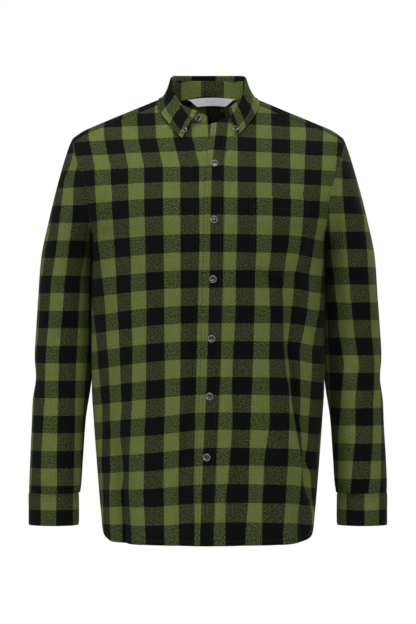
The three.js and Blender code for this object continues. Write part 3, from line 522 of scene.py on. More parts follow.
def wall(name, p, n, uv, thick=THICK, ring=False):
    """A closed thin shell from a grid of outer points, outward directions and cloth coordinates."""
    high, wide = p.shape[:2]
    points = np.concatenate([p.reshape(-1, 3), (p - n * thick).reshape(-1, 3)])
    faces, corners = [], []
    for cells in shell_cells(high, wide, ring):
        faces.append(np.stack([(a + side * high) * wide + b % wide for a, b, side in cells], axis=1))
        places = [(a, b if ring else np.minimum(b, wide - 1)) for a, b, _ in cells]
        corners.append(np.stack([uv[place] for place in places], axis=1))
    faces, corners = np.concatenate(faces), np.concatenate(corners)
    a, b, c = (points[faces[:, k]] for k in range(3))
    if np.einsum("ij,ij->i", a, np.cross(b, c)).sum() < 0:
        faces, corners = faces[:, ::-1], corners[:, ::-1]
    return make_mesh(name, points, faces.tolist(), corners.reshape(-1, 2) * MM)


def sheet_normals(p, ring=False, side=1):
    if ring:
        over = np.roll(p, -1, axis=1) - np.roll(p, 1, axis=1)
    else:
        over = np.gradient(p, axis=1)
    along = np.gradient(p, axis=0)
    return unit(np.cross(along, over)) * side


# Materials


class Graph:
    """A material with short helpers for its node tree."""

    def __init__(self, name):
        self.material = bpy.data.materials.new(name)
        self.material.use_nodes = True
        self.nodes = self.material.node_tree.nodes
        self.links = self.material.node_tree.links
        self.shader = self.nodes["Principled BSDF"]

    def finish(self, **values):
        """Sets the shader's sockets, with underscores for the spaces in their names."""
        for name, value in values.items():
            self.feed(self.shader.inputs[name.replace("_", " ")], value)
        return self.material

    def feed(self, socket, value):
        if isinstance(value, bpy.types.NodeSocket):
            self.links.new(value, socket)
        else:
            socket.default_value = value

    def math(self, operation, a, b=0.0, c=0.0):
        node = self.nodes.new("ShaderNodeMath")
        node.operation = operation
        for socket, value in zip(node.inputs, (a, b, c)):
            self.feed(socket, value)
        return node.outputs[0]

    def mix(self, factor, a, b):
        node = self.nodes.new("ShaderNodeMix")
        node.data_type = "RGBA"
        self.feed(node.inputs["Factor"], factor)
        self.feed(node.inputs[6], a)
        self.feed(node.inputs[7], b)
        return node.outputs[2]

    def noise(self, vector, scale, detail=2.0, rough=0.5):
        node = self.nodes.new("ShaderNodeTexNoise")
        self.links.new(vector, node.inputs["Vector"])
        node.inputs["Scale"].default_value = scale
        node.inputs["Detail"].default_value = detail
        node.inputs["Roughness"].default_value = rough
        return node.outputs["Fac"]

    def ramp(self, value, low, high):
        node = self.nodes.new("ShaderNodeMapRange")
        node.interpolation_type = "SMOOTHSTEP"
        self.feed(node.inputs["Value"], value)
        node.inputs["From Min"].default_value = low
        node.inputs["From Max"].default_value = high
        return node.outputs["Result"]

    def cloth(self):
        """The cloth coordinates: both together, across and along."""
        uv = self.nodes.new("ShaderNodeUVMap")
        uv.uv_map = "cloth"
        split = self.nodes.new("ShaderNodeSeparateXYZ")
        self.links.new(uv.outputs["UV"], split.inputs[0])
        return uv.outputs["UV"], split.outputs[0], split.outputs[1]

    def place(self):
        return self.nodes.new("ShaderNodeTexCoord").outputs["Object"]

    def bump(self, height, strength, distance):
        node = self.nodes.new("ShaderNodeBump")
        node.inputs["Strength"].default_value = strength
        node.inputs["Distance"].default_value = distance
        self.links.new(height, node.inputs["Height"])
        self.links.new(node.outputs[0], self.shader.inputs["Normal"])

    def band(self, coordinate, period, width, blur, wobble):
        """1 inside stripes of a width, centred on multiples of the period, else 0."""
        shifted = self.math("ADD", coordinate, wobble)
        part = self.math("DIVIDE", shifted, period)
        nearest = self.math("ROUND", part)
        off = self.math("ABSOLUTE", self.math("SUBTRACT", part, nearest))
        edge = width / period / 2
        return self.math("SUBTRACT", 1.0, self.ramp(off, edge - blur / period, edge + blur / period))


# Widths of the check's dark stripes in millimetres; their blur and the rib spacings in metres
CHECK_WARP = 32.5
CHECK_WEFT = 30.5
CHECK_BLUR = 0.0005
TWILL = 0.0009
LABEL_RIB = 0.0007


def check_colour(g, uv, u, v):
    """Green and black stripes crossed into four kinds of square, heathered where they mix."""
    fray = g.math("MULTIPLY", g.math("SUBTRACT", g.noise(uv, 900, 1), 0.5), 0.0016)
    warp = g.band(u, CHECK * MM, CHECK_WARP * MM, CHECK_BLUR, fray)
    weft = g.band(v, ROW * MM, CHECK_WEFT * MM, CHECK_BLUR, fray)
    heather = g.noise(uv, 1300, 2, 0.7)
    coarse = g.noise(uv, 420, 3, 0.8)
    cloud = g.noise(uv, 45, 3, 0.6)
    grain = g.ramp(coarse, 0.36, 0.66)
    both_green = g.mix(grain, (0.088, 0.112, 0.024, 1), (0.15, 0.18, 0.055, 1))
    both_dark = g.mix(heather, (0.0016, 0.0017, 0.002, 1), (0.0044, 0.0045, 0.0052, 1))
    speck = g.ramp(g.math("MULTIPLY_ADD", coarse, 0.75, g.math("MULTIPLY", heather, 0.25)), 0.41, 0.6)
    green_warp = g.mix(speck, (0.005, 0.009, 0.004, 1), (0.086, 0.11, 0.033, 1))
    dark_warp = g.mix(speck, (0.003, 0.005, 0.003, 1), (0.066, 0.072, 0.029, 1))
    colour = g.mix(weft, g.mix(warp, both_green, dark_warp), g.mix(warp, green_warp, both_dark))
    tone = g.nodes.new("ShaderNodeVectorMath")
    tone.operation = "SCALE"
    g.links.new(colour, tone.inputs[0])
    g.links.new(g.math("MULTIPLY_ADD", cloud, 0.3, 0.85), tone.inputs["Scale"])
    return tone.outputs[0]


def flannel():
    """Brushed twill in a green and black buffalo check, from the cloth coordinates in metres."""
    g = Graph("flannel_check")
    uv, u, v = g.cloth()
    colour = check_colour(g, uv, u, v)
    rib = g.math("SINE", g.math("MULTIPLY", g.math("ADD", u, v), 2 * math.pi / TWILL))
    nap = g.noise(uv, 700, 4, 0.75)
    g.bump(g.math("MULTIPLY_ADD", rib, 0.18, nap), 0.55, 0.0006)
    rough = g.math("MULTIPLY_ADD", nap, 0.12, 0.86)
    return g.finish(Base_Color=colour, Roughness=rough, Specular_IOR_Level=0.06, Sheen_Weight=0.03,
                    Sheen_Roughness=0.5, Sheen_Tint=(0.75, 0.85, 0.6, 1))


def button_plastic(name, dark, pale):
    g = Graph(name)
    swirl = g.noise(g.place(), 420, 4, 0.6)
    colour = g.mix(g.ramp(swirl, 0.35, 0.65), dark + (1,), pale + (1,))
    rough = g.math("MULTIPLY_ADD", swirl, 0.14, 0.2)
    return g.finish(Base_Color=colour, Roughness=rough, Coat_Weight=0.5, Coat_Roughness=0.12)


def thread_material(name, colour):
    g = Graph(name)
    dark = tuple(c * 0.6 for c in colour) + (1,)
    twist = g.mix(g.noise(g.place(), 2600, 2), dark, colour + (1,))
    return g.finish(Base_Color=twist, Roughness=0.6, Specular_IOR_Level=0.3)


def label_cloth():
    g = Graph("label_satin")
    uv, _, v = g.cloth()
    colour = g.mix(g.noise(uv, 90, 3), (0.44, 0.44, 0.49, 1), (0.62, 0.62, 0.67, 1))
    g.bump(g.math("SINE", g.math("MULTIPLY", v, 2 * math.pi / LABEL_RIB)), 0.3, 0.0003)
    return g.finish(Base_Color=colour, Roughness=0.42, Sheen_Weight=0.2)


def floor_paint():
    g = Graph("floor_pale")
    colour = g.mix(g.noise(g.place(), 3, 3), (0.82, 0.82, 0.82, 1), (0.86, 0.86, 0.86, 1))
    return g.finish(Base_Color=colour, Roughness=0.7)


FLANNEL = flannel()
BUTTON = button_plastic("button_face", (0.012, 0.010, 0.009), (0.05, 0.043, 0.038))
RIM = button_plastic("button_rim", (0.09, 0.08, 0.072), (0.22, 0.2, 0.185))
THREAD = thread_material("thread_olive", (0.017, 0.021, 0.009))
DARK_THREAD = thread_material("thread_dark", (0.012, 0.012, 0.013))
# Near black for the button holes: painted shade, since the holes are only thin discs on the button face
HOLE_SHADE = thread_material("button_hole_painted_shade", (0.006, 0.006, 0.006))
LABEL = label_cloth()


def dress(obj, mat, node=None):
    obj.data.materials.clear()
    obj.data.materials.append(mat)
    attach(obj, "root")
    if node:
        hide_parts(node)
    return obj


def panel(name, p, n, uv, thick=THICK, ring=False, mat=FLANNEL):
    """The shell of cloth that stands for a node, with its grid of points and outward directions."""
    obj = wall(f"{name}_cloth", p, n, uv, thick, ring)
    return dress(obj, mat, name), p, n


# Body panels

# Rows of a panel below and above the underarm, and how far the left front runs on under the placket
FINE_LOW = 150
FINE_HIGH = 66
UNDER_PLACKET = 3


def no_lift(x, z):
    return 0 * x


def body_grid(sign, side, start, part, top_x, top_z, hem, lift, even):
    """Grid of a body panel: rows from the hem up, columns by their share of the way to the side."""
    i = np.arange(FINE_LOW + FINE_HIGH + 1)[:, None]
    part = part[None, :]
    outer = np.abs(2 * part - 1) if even else part
    bottom = hem + HEM_RISE * outer ** HEM_POWER
    up = np.clip((i - FINE_LOW) / FINE_HIGH, 0, 1)
    low = lerp(bottom, UNDERARM, np.minimum(i / FINE_LOW, 1))
    t = lerp(up, 1 - np.cos(up * math.pi / 2), outer ** 3)
    z = np.where(i > FINE_LOW, lerp(UNDERARM, top_z[None, :], t), low)

    def plain(level):
        edge = swing(edge_reach(level), level)
        begin = -edge if even else swing(start(level), level)
        end = edge if even else side * edge
        return unswing(lerp(begin, end, part), level)

    tops = np.broadcast_to(top_z[None, :], z.shape)
    x = plain(z) + (top_x[None, :] - plain(tops)) * smooth(up)
    p, n = body_point(sign, x, z, lift(x, z))
    return p, n, x, z


def front_tops(side, first_angle, neck_columns, shoulder_columns):
    corner = neck_point(NECK_CORNER)
    angles = np.linspace(first_angle, NECK_CORNER, neck_columns + 1)
    neck = neck_point(side * angles)
    xs = np.linspace(corner[0], SHOULDER_TIP, shoulder_columns + 1)[1:]
    x = np.concatenate([neck[:, 0], side * xs])
    neck_z = neck[:, 2].copy()
    neck_z[-1] = min(neck_z[-1], ridge(corner[0]) - YOKE_DROP - SEAM)
    z = np.concatenate([neck_z, ridge(xs) - YOKE_DROP - SEAM])
    return x, z


def columns_across(table, column_edges, x, z):
    """Cloth coordinate across a piece, from where its columns lie at a few levels."""
    levels = np.array([row[0] for row in table], float)
    values = []
    for _, places in table:
        low = column_edges[0] - (places[0] - x)
        high = column_edges[-1] + (x - places[-1])
        inside = np.interp(x, places, column_edges)
        values.append(np.where(x < places[0], low, np.where(x > places[-1], high, inside)))
    values = np.stack(values)
    place = np.clip(np.interp(z, levels, np.arange(len(levels))), 0, len(levels) - 1.001)
    low = place.astype(int)

    def pick(k):
        return np.take_along_axis(values, k[None], axis=0)[0]

    return lerp(pick(low), pick(low + 1), place - low)


def rows_of_front(x, z):
    """Check row coordinate on the fronts, in mm, with its droop towards the sides."""
    out = np.abs(x) / DROOP_REACH
    fall = np.where(x < 0, droop_right(z), droop_left(z)) * np.where(out < 1, out ** 2, 2 * out - 1)
    low = smooth((-200 - z) / 60)
    fall = fall + np.where(x > 0, LEFT_SIDE_DROOP * low * smooth((x - 138) / 55), 0)
    fall = fall + RIGHT_DIP * smooth((-430 - z) / 140) * np.exp(-((x + 88) / 58) ** 2)
    return row_at(z + fall) * ROW


def front(side, name, first_angle, neck_columns, under, lift, table):
    """A front panel, from its edge at or under the placket to the side seam."""
    def start(z):
        return front_line(z) + PLACKET_WIDTH / 2 - under

    x, z = front_tops(side, first_angle, neck_columns, 80)
    part = np.linspace(0, 1, len(x))
    p, n, gx, gz = body_grid(-1, side, start, part, x, z, HEM_FRONT, lift, False)
    u = columns_across(table, COLUMN_EDGES, side * gx, gz)
    return panel(name, p, n, stack(u, rows_of_front(gx, gz)))


def placket_grid(columns, lift):
    i = np.arange(FINE_LOW + FINE_HIGH + 1)[:, None]
    s = np.linspace(0, 1, columns + 1)[None, :]
    side = (s - 0.5) * PLACKET_WIDTH
    neck = neck_point(lerp(PLACKET_ANGLE, LEFT_ANGLE, s[0]))
    up = np.clip((i - FINE_LOW) / FINE_HIGH, 0, 1)
    low = lerp(HEM_FRONT, UNDERARM, np.minimum(i / FINE_LOW, 1))
    z = lerp(low, neck[None, :, 2], up)
    shift = neck[None, :, 0] - SEAM * s - front_line(neck[None, :, 2]) - side
    x = front_line(z) + side + shift * smooth(up)
    p, n = body_point(-1, x, z, lift + 0 * z)
    return p, n, x, z, side + 0 * z


def placket():
    p, n, x, z, side = placket_grid(8, PLACKET_LIFT)
    u = side - 10.25
    return panel("placket", p, n, stack(u, rows_of_front(x, z) + 0 * u), DOUBLE)


def back():
    columns = 110
    part = np.linspace(0, 1, columns + 1)
    a = swing(edge_reach(YOKE_LEVEL), YOKE_LEVEL)
    x = unswing(lerp(-a, a, part), YOKE_LEVEL)
    z = np.full_like(x, YOKE_LEVEL - SEAM)
    p, n, gx, gz = body_grid(1, 0, None, part, x, z, HEM_BACK, no_lift, True)
    u = arc_across(1, gx, gz)
    v = gz + 4 + 6 * (gx / 143) ** 2
    return panel("back", p, n, stack(u, v))


def armhole_yoke_point(side, t):
    tip = SHOULDER_TIP
    front = depth_at(-1, tip, ridge(tip) - YOKE_DROP + SEAM)
    reach = armhole_reach(YOKE_LEVEL)
    behind = depth_at(1, reach, YOKE_LEVEL + SEAM)
    y = lerp(front, behind, t)
    x = lerp(tip, reach, smooth(t))
    return stack(side * x, y, height_at(x, y))


def yoke():
    arm, seam, rows = 30, 96, 30
    t = np.linspace(0, 1, arm + 1)
    z = YOKE_LEVEL + SEAM
    a = swing(armhole_reach(YOKE_LEVEL), z)
    xs = unswing(lerp(a, -a, np.arange(1, seam) / seam), z)
    rim = np.concatenate([
        armhole_yoke_point(1, t), stack(xs, depth_at(1, xs, z), z), armhole_yoke_point(-1, t[::-1])])
    last = len(rim) - 1
    inner = neck_point(lerp(NECK_CORNER, 360 - NECK_CORNER, np.arange(last + 1) / last))
    s = np.linspace(0, 1, rows + 1)[:, None, None]
    flat = lerp(inner[None], rim[None], s)
    x, y = flat[..., 0], flat[..., 1].copy()
    height = height_at(x, y)
    height[-1] = rim[:, 2]
    for k in (0, last):
        height[:, k] = ridge(x[:, k]) - YOKE_DROP + SEAM
        y[:, k] = depth_at(-1, x[:, k], height[:, k])
    n = outward(x, y, height)
    p = stack(x, y, height)
    from_edges = smooth((1 - s[..., 0]) * 6) * smooth(s[..., 0] * 6)
    p = p + n * (0.5 * unevenness(x, y * 2, 5) * from_edges)[..., None]
    level = 0 * x - 60
    u = np.where(x > 0, columns_across(LEFT_COLUMNS, COLUMN_EDGES, x, level),
                 columns_across(RIGHT_COLUMNS, COLUMN_EDGES, -x, level))
    v = -y * 1.25 - 18 + 18 * smooth((y - 20) / 30)
    return panel("yoke", p, n, stack(u, v))


# Sleeves

# outer x and z, inner x and z, half depth, middle, turn toward the body behind
SLEEVE_SECTIONS = np.array([
    (271, -198, 198.5, -256, 73, 8, 0.1), (284.5, -264, 198, -296, 74, 10, 0.12),
    (291, -338, 197, -352, 69, 10, 0.12), (296.5, -411, 197, -415, 62, 8, 0.12),
    (301, -480, 201, -482, 57, 4, 0.1), (303, -547, 210, -547, 54, 0, 0.06),
    (305.5, -610, 214.5, -610, 51, -4, 0.03), (307, -652, 217, -652, 48, -7, 0),
    (307, -672, 219.5, -672, 43, -8, 0),
])
STATIONS = np.column_stack([np.linspace(0, 1, len(SLEEVE_SECTIONS)), SLEEVE_SECTIONS])
SLEEVE_CURVES = [through(STATIONS, k) for k in range(1, 8)]
CAP_PULL = 30
SLEEVE_PULL = 110
BODY_CLEAR = 0.4
# place down the sleeve, angle from the inner side over the front, spans and depth
SLEEVE_FOLDS = [
    (0.36, 60, 0.07, 60, 5), (0.5, 150, 0.06, 55, 7), (0.62, 120, 0.09, 45, 6), (0.47, 250, 0.06, 70, 6),
    (0.6, 280, 0.07, 60, 5), (0.88, 95, 0.1, 22, 4), (0.9, 270, 0.1, 26, 4),
]


def body_side(y, z):
    parts = []
    for sign in (-1, 1):
        depth, _, _ = side_values(sign)
        part = np.clip(np.abs(y) / (depth(z) * share(sign, body_width(z) * 0.9, z)), 0, 1)
        parts.append(body_width(z) * (1 - part ** SHAPE_POWER) ** (1 / SHAPE_POWER))
    return np.where(y < 0, parts[0], parts[1])


def turn_between(angle, other):
    """Degrees from one angle round to another, the shorter way."""
    return (angle - other + 540) % 360 - 180


def sleeve_fold(t, angle):
    total = 0
    for at, turn, span, arc, deep in SLEEVE_FOLDS:
        off = np.abs(turn_between(np.degrees(angle), turn)) / arc
        along = (t - at) / span
        total = total + deep * np.exp(-off * off * 1.5 - along * along * 1.5)
    return total


# Creases of each sleeve: start and end as place down the sleeve and angle, half width in mm, depth
SLEEVE_CREASES = {
    -1: [
        (0.16, 70, 0.30, 120, 9, 2.2), (0.30, 60, 0.40, 110, 10, 3.0), (0.40, 120, 0.52, 60, 9, 3.4),
        (0.50, 70, 0.58, 130, 9, 3.0), (0.60, 62, 0.74, 96, 9, 2.8), (0.72, 110, 0.80, 70, 9, 2.2),
        (0.84, 84, 0.99, 78, 6, 2.6), (0.86, 112, 0.99, 116, 6, 2.2), (0.88, 60, 0.99, 54, 6, 1.8),
        (0.42, 200, 0.52, 260, 10, 3.0), (0.56, 210, 0.66, 262, 10, 3.0), (0.86, 250, 0.99, 244, 6, 2.4),
        (0.88, 285, 0.99, 292, 6, 2.4), (0.28, 220, 0.42, 250, 12, 2.2),
    ],
    1: [
        (0.14, 76, 0.28, 112, 9, 2.0), (0.34, 118, 0.46, 64, 10, 3.6), (0.44, 60, 0.53, 124, 9, 3.4),
        (0.55, 128, 0.66, 70, 9, 3.2), (0.66, 66, 0.80, 104, 9, 2.4), (0.84, 98, 0.99, 92, 6, 2.4),
        (0.86, 70, 0.99, 64, 6, 2.4), (0.88, 124, 0.99, 130, 6, 1.8), (0.40, 205, 0.50, 262, 10, 3.0),
        (0.54, 215, 0.64, 268, 10, 3.0), (0.86, 240, 0.99, 236, 6, 2.4), (0.88, 276, 0.99, 282, 6, 2.4),
        (0.26, 225, 0.40, 255, 12, 2.2),
    ],
}
SLEEVE_LENGTH = 450
SLEEVE_GIRTH = 330


def sleeve_crease(side, t, angle):
    total = 0
    turn = np.degrees(angle) % 360
    for t0, a0, t1, a1, half, deep in SLEEVE_CREASES[side]:
        scale = SLEEVE_GIRTH / 360
        dx, dy = (a1 - a0) * scale, (t1 - t0) * SLEEVE_LENGTH
        px = turn_between(turn, a0) * scale
        py = (t - t0) * SLEEVE_LENGTH
        s = np.clip((px * dx + py * dy) / (dx * dx + dy * dy), 0, 1)
        away = np.hypot(px - dx * s, py - dy * s) / half
        open_end = 1 if t1 > 0.98 else 0
        ends = smooth(s * 3) * smooth((1 - s) * 3 + open_end)
        total = total + deep * np.exp(-away * away * TROUGH_SHARP) * ends
    return total


def sleeve_base(side, t, angle):
    out_x, out_z, in_x, in_z, half, middle, turn = [curve(t) for curve in SLEEVE_CURVES]
    c, s = -np.cos(angle), -np.sin(angle)
    shrink = 1 - sleeve_fold(t, angle) / 60
    y = middle + half * s * shrink
    z = lerp(in_z, out_z, (c + 1) / 2)
    x = lerp(in_x, out_x, (1 + c * shrink) / 2) - turn * half * s
    x = np.maximum(x, body_side(y, z) + BODY_CLEAR)
    return stack(side * x, y, z)


RING_FINE = 5


def armhole_ring(side):
    """Points of the armhole from the underarm up the front, over the yoke and down the back."""
    def edge(sign, z):
        x = edge_reach(z)
        y = depth_at(sign, x, z)
        return stack(side * x, y, z)

    k = np.arange(8 * RING_FINE) / (8 * RING_FINE)
    top = ridge(SHOULDER_TIP) - YOKE_DROP - SEAM
    front = edge(-1, lerp(UNDERARM, top, 1 - np.cos(k * math.pi / 2)))
    over = armhole_yoke_point(side, np.arange(6 * RING_FINE + 1) / (6 * RING_FINE))
    k = np.arange(7 * RING_FINE - 1, 0, -1) / (7 * RING_FINE)
    behind = edge(1, lerp(UNDERARM, YOKE_LEVEL - SEAM, 1 - np.cos(k * math.pi / 2)))
    p = np.concatenate([front, over, behind])
    n = outward(p[:, 0], np.where(np.abs(p[:, 1]) < 0.1, -0.1, p[:, 1]), p[:, 2])
    return p, n


CAP_FINE = 14
SLEEVE_FINE = 120


def sleeve_grid(side):
    ring, ring_n = armhole_ring(side)
    steps = np.linalg.norm(np.roll(ring, -1, axis=0) - ring, axis=1)
    angles = np.concatenate([[0], np.cumsum(steps)[:-1]]) / steps.sum() * 2 * math.pi
    out = unit(np.cross(np.roll(ring, -1, axis=0) - np.roll(ring, 1, axis=0), ring_n)) * side
    first = ring + out * SEAM
    end = sleeve_base(side, np.zeros_like(angles), angles)
    below = unit(sleeve_base(side, np.full_like(angles, 0.02), angles) - end)
    low = smooth((UNDERARM + 60 - ring[:, 2]) / 60)[:, None]
    pull = out * lerp(CAP_PULL, -3, low)
    finish = below * lerp(SLEEVE_PULL, 20, low)
    rows = [first]
    for i in range(1, CAP_FINE + 1):
        t = i / (CAP_FINE + 1)
        rows.append(first * (2 * t ** 3 - 3 * t ** 2 + 1) + end * (3 * t ** 2 - 2 * t ** 3)
                    + pull * (t ** 3 - 2 * t ** 2 + t) + finish * (t ** 3 - t ** 2))
    ts = np.linspace(0, 1, SLEEVE_FINE + 1)
    for t in ts:
        rows.append(sleeve_base(side, np.full_like(angles, t), angles))
    p = np.array(rows)
    plain = p
    place = np.concatenate([np.linspace(-0.2, -0.01, CAP_FINE + 1), ts])[:, None]
    n = sheet_normals(p, True, side)
    n[0] = ring_n
    relief = -sleeve_crease(side, place, angles[None, :]) + 0.7 * unevenness(
        np.degrees(angles)[None, :] * 0.9, place * SLEEVE_LENGTH, 3 + side)
    inner = smooth((p[..., 0] * side - 214) / 12)
    p = p + n * (relief * smooth((place + 0.2) * 12) * inner)[..., None]
    n2 = sheet_normals(p, True, side)
    n2[0] = ring_n
    return p, n2, angles, place, plain


# Where the edges of the check's columns lie on the front of each sleeve: a level, and distances out
SLEEVE_EDGES = (-92, -76.25, -43.75, -16.25, 16.25, 43.75, 76.25, 100)
SLEEVE_COLUMNS = {
    -1: (
        (-740, (214, 216, 219.5, 230, 256, 285, 303.5, 307)),
        (-615, (208, 211, 217, 228, 257.5, 285, 301.5, 306)),
        (-437, (194, 196, 204, 224, 254, 277, 295.5, 301)),
        (-313, (192, 194, 199.5, 218, 243.5, 267, 286, 291)),
        (-253, (190, 192, 196, 206.5, 236.5, 257.5, 277, 283)),
        (-200, (176, 180, 188, 199, 230, 252, 268, 274)),
        (-138, (160, 166, 186, 212, 228, 246, 258, 266)),
        (-70, (120, 135, 165, 193, 216, 228, 236, 250)),
    ),
    1: (
        (-740, (212, 214, 218.5, 235.5, 265, 292, 304, 307)),
        (-637, (208, 211, 220, 245, 277, 295, 303.5, 306)),
        (-572, (205, 208.5, 222, 251, 282, 297.5, 304.5, 306)),
        (-510, (203, 209, 227.5, 250.5, 283.5, 296.5, 302.5, 304)),
        (-452, (200, 205, 232, 257, 284.5, 296, 301, 303)),
        (-394, (197, 206, 223, 248, 279, 294, 299, 301)),
        (-332, (194, 199, 217.5, 241.5, 275.5, 291, 295, 297)),
        (-270, (190, 196, 210, 237, 271.5, 286, 289, 291)),
        (-240, (188, 194, 208, 235, 269, 282, 286, 288)),
        (-191, (180, 186, 205, 231, 265, 276, 280, 283)),
        (-154, (166, 174, 200, 228, 258, 266, 271, 275)),
        (-111, (150, 160, 198, 229, 253, 259, 264, 268)),
        (-70, (130, 145, 190, 224, 246, 252, 257, 262)),
    ),
}
SLEEVE_ROW = {-1: (-136.9, 59.7), 1: (-241.4, 60.1)}
# Angles from the inner side between which the columns of a sleeve lie as the table says
FRONT_START = math.radians(38)
FRONT_END = math.radians(146)


def round_sleeve(side, closed, turns, places):
    """Cloth coordinate round a sleeve: columns in place on its front, true to width round the rest."""
    rows = []
    across_front = columns_across(SLEEVE_COLUMNS[side], SLEEVE_EDGES, closed[..., 0] * side, closed[..., 2])
    for u, length, place in zip(across_front, ring_length(closed), places):
        last = lerp(math.pi, FRONT_END, smooth(place / 0.25))
        near = np.interp(FRONT_START, turns, u) + length - np.interp(FRONT_START, turns, length)
        far = np.interp(last, turns, u) + length - np.interp(last, turns, length)
        rows.append(np.where(turns < FRONT_START, near, np.where(turns > last, far, u)))
    return np.array(rows)


def sleeve(side, name):
    p, n, angles, place, plain = sleeve_grid(side)
    closed = np.concatenate([plain, plain[:, :1]], axis=1)
    z = closed[..., 2]
    u = round_sleeve(side, closed, np.append(angles, 2 * math.pi), place[:, 0])
    level, period = SLEEVE_ROW[side]
    v = (z - level) / period * ROW
    return panel(name, p, n, stack(u, v), THICK, True)


# Cuffs

CUFF_TOP = -672.4
CUFF_HEM = -728
CUFF_HALF_X = 43.4
CUFF_HALF_Y = 39
CUFF_MIDDLE_X = 264.6
CUFF_MIDDLE_Y = -8
CUFF_OPENING = 118
CUFF_LAP = 22
CUFF_LIFT = 2.2


def cuff_point(side, turn, z, lift):
    a = np.radians(CUFF_OPENING + turn)
    x = CUFF_MIDDLE_X - (CUFF_HALF_X + lift) * np.cos(a)
    y = CUFF_MIDDLE_Y + (CUFF_HALF_Y + lift) * np.sin(a)
    return stack(side * x, y, z)


def cuff(side, name):
    turn = np.linspace(0, 360 + CUFF_LAP, 130)[None, :]
    z = np.linspace(CUFF_HEM, CUFF_TOP, 15)[:, None]
    edge = np.minimum(z - CUFF_HEM, CUFF_TOP - z)
    roll = -0.7 * np.exp(-(edge / 2.2) ** 2) - 0.35 * np.exp(-((edge - 5.5) / 1.3) ** 2)
    wave = 0.5 * np.sin(np.radians(turn) * 3 + side) + 0.3 * np.sin(np.radians(turn) * 7 + z / 9)
    lift = CUFF_LIFT * smooth((turn - 320) / 40) + roll + wave * 0.5
    p = cuff_point(side, turn, z, lift)
    n = sheet_normals(p, False, side)
    u = ring_length(p) * side
    front = np.argmin(p[7, :, 1])
    u = u - u[:, front:front + 1] - (37 if side < 0 else 15)
    return panel(name, p, n, stack(u, (z + 716) + 0 * turn), DOUBLE)


def ring_length(p):
    steps = np.linalg.norm(np.diff(p, axis=1), axis=2)
    return np.concatenate([np.zeros((len(p), 1)), np.cumsum(steps, axis=1)], axis=1)


def sleeve_placket(side, name):
    rows, columns = 40, 8
    i = np.linspace(0, 1, rows + 1)[:, None]
    j = np.linspace(-1, 1, columns + 1)[None, :]
    t = 0.995 - i * (0.36 + 0.04 * (1 - np.abs(j)))
    angle = np.radians(180 + CUFF_OPENING - 52) + j * 12 / 46
    p = sleeve_base(side, t, angle)
    along = sleeve_base(side, t + 0.01, angle) - sleeve_base(side, t - 0.01, angle)
    over = sleeve_base(side, t, angle + 0.05) - sleeve_base(side, t, angle - 0.05)
    n = unit(np.cross(along, over)) * side
    p = p + n * 2.0
    return panel(name, p, n, stack(j * 12 + 10 + 0 * i, t * SLEEVE_LENGTH), TRIM)


# Collar

# fold x y z, edge x y z, rise; an edge y of 0 lies on the front
COLLAR_BACK = [
    (0, 61, 48.4, 0, 84, -2, 9), (24, 57, 48, 31, 80, -2, 9), (45, 42, 46.8, 59, 63, -1, 9),
    (58, 19, 44.6, 77, 33, -1, 9),
]
COLLAR_RIGHT = [
    (61, -4, 37, 82, 5, 3, 8), (59, -22, 21, 87, -19, -6, 7), (53, -36, 7, 80, 0, -24, 6),
    (44, -47, -8, 67, 0, -42, 5), (31, -57, -15.5, 55, 0, -58, 4), (17, -64, -21.5, 44, 0, -69, 4),
]
COLLAR_LEFT = [
    (61.5, -4, 40, 83, 5, 3, 8), (62, -17, 30, 88, -17, -5, 7), (60, -28, 13, 84, 0, -20, 6),
    (54, -38, 2, 74, 0, -36, 5), (45, -47, -7, 62, 0, -51, 4), (33, -56, -16, 50, 0, -66, 4),
]
LEAF_LIFT = 4.5
LEAF_BULGE = 3
SIDE_BULGE = -3
SIDE_LIFT = 2.2
STAND_FOOT = 1
# First row of the leaf's grid that hangs free of the fold
LEAF_FREE = 8


def collar_stations(count):
    """Rows of fold and edge from the wearer's left front end round to the right one, made smooth."""
    left = [list(row) for row in (COLLAR_BACK + COLLAR_LEFT)][::-1]
    right = [[-r[0], r[1], r[2], -r[3], r[4], r[5], r[6]] for r in COLLAR_BACK[1:] + COLLAR_RIGHT]
    rows = np.array(left + right, float)
    flat = rows[:, 4] == 0
    rows[flat, 4] = depth_at(-1, rows[flat, 3], rows[flat, 5]) - LEAF_LIFT
    middle = len(left) - 1
    table = np.column_stack([np.arange(len(rows)) - middle, rows])
    s = np.linspace(-middle, len(rows) - 1 - middle, count)
    return np.column_stack([through(table, k)(s) for k in range(1, 8)]), s


def leaf_grid():
    rows, s = collar_stations(150)
    fold, edge, rise = rows[:, 0:3], rows[:, 3:6], rows[:, 6]
    out = edge - fold
    out[:, 2] = 0
    out = unit(out)

    def at(run, up):
        return fold + out * run + np.column_stack([0 * rise, 0 * rise, up + 0 * rise])

    points = [at(0, -rise), at(0.1, -rise * 0.7), at(0.3, -rise / 2), at(0.9, -1.2), at(2.4, 0.0),
              at(3.9, -0.7), at(5.2, -2.4), at(6.0, -4.6)]
    begin = at(6.6, -7)
    bulge = lerp(LEAF_BULGE, SIDE_BULGE, smooth(1 - np.abs(np.abs(s) - 4.2) / 3))[:, None]
    belly = (begin + edge) / 2 + out * bulge + bulge * np.array([0, 0, 1.0])
    steps = 26
    for k in range(steps + 1):
        t = k / steps
        q = begin * (1 - t) ** 2 + belly * 2 * t * (1 - t) + edge * t * t
        points.append(q)
    p = np.array(points)
    free = p[LEAF_FREE:]
    y = np.where(np.abs(free[..., 1]) < 1, -1, free[..., 1])
    top = height_at(free[..., 0], y)
    n = outward(free[..., 0], y, np.minimum(free[..., 2], top))
    over = (free[..., 2] - top) * np.maximum(n[..., 2], 0.2)
    lift = lerp(LEAF_LIFT, SIDE_LIFT, smooth(1.6 - np.abs(np.abs(s) - 4) / 1.6))[None, :]
    p[LEAF_FREE:] = free + n * np.maximum(lift - over, 0)[..., None]
    return p, sheet_normals(p, False, 1), s


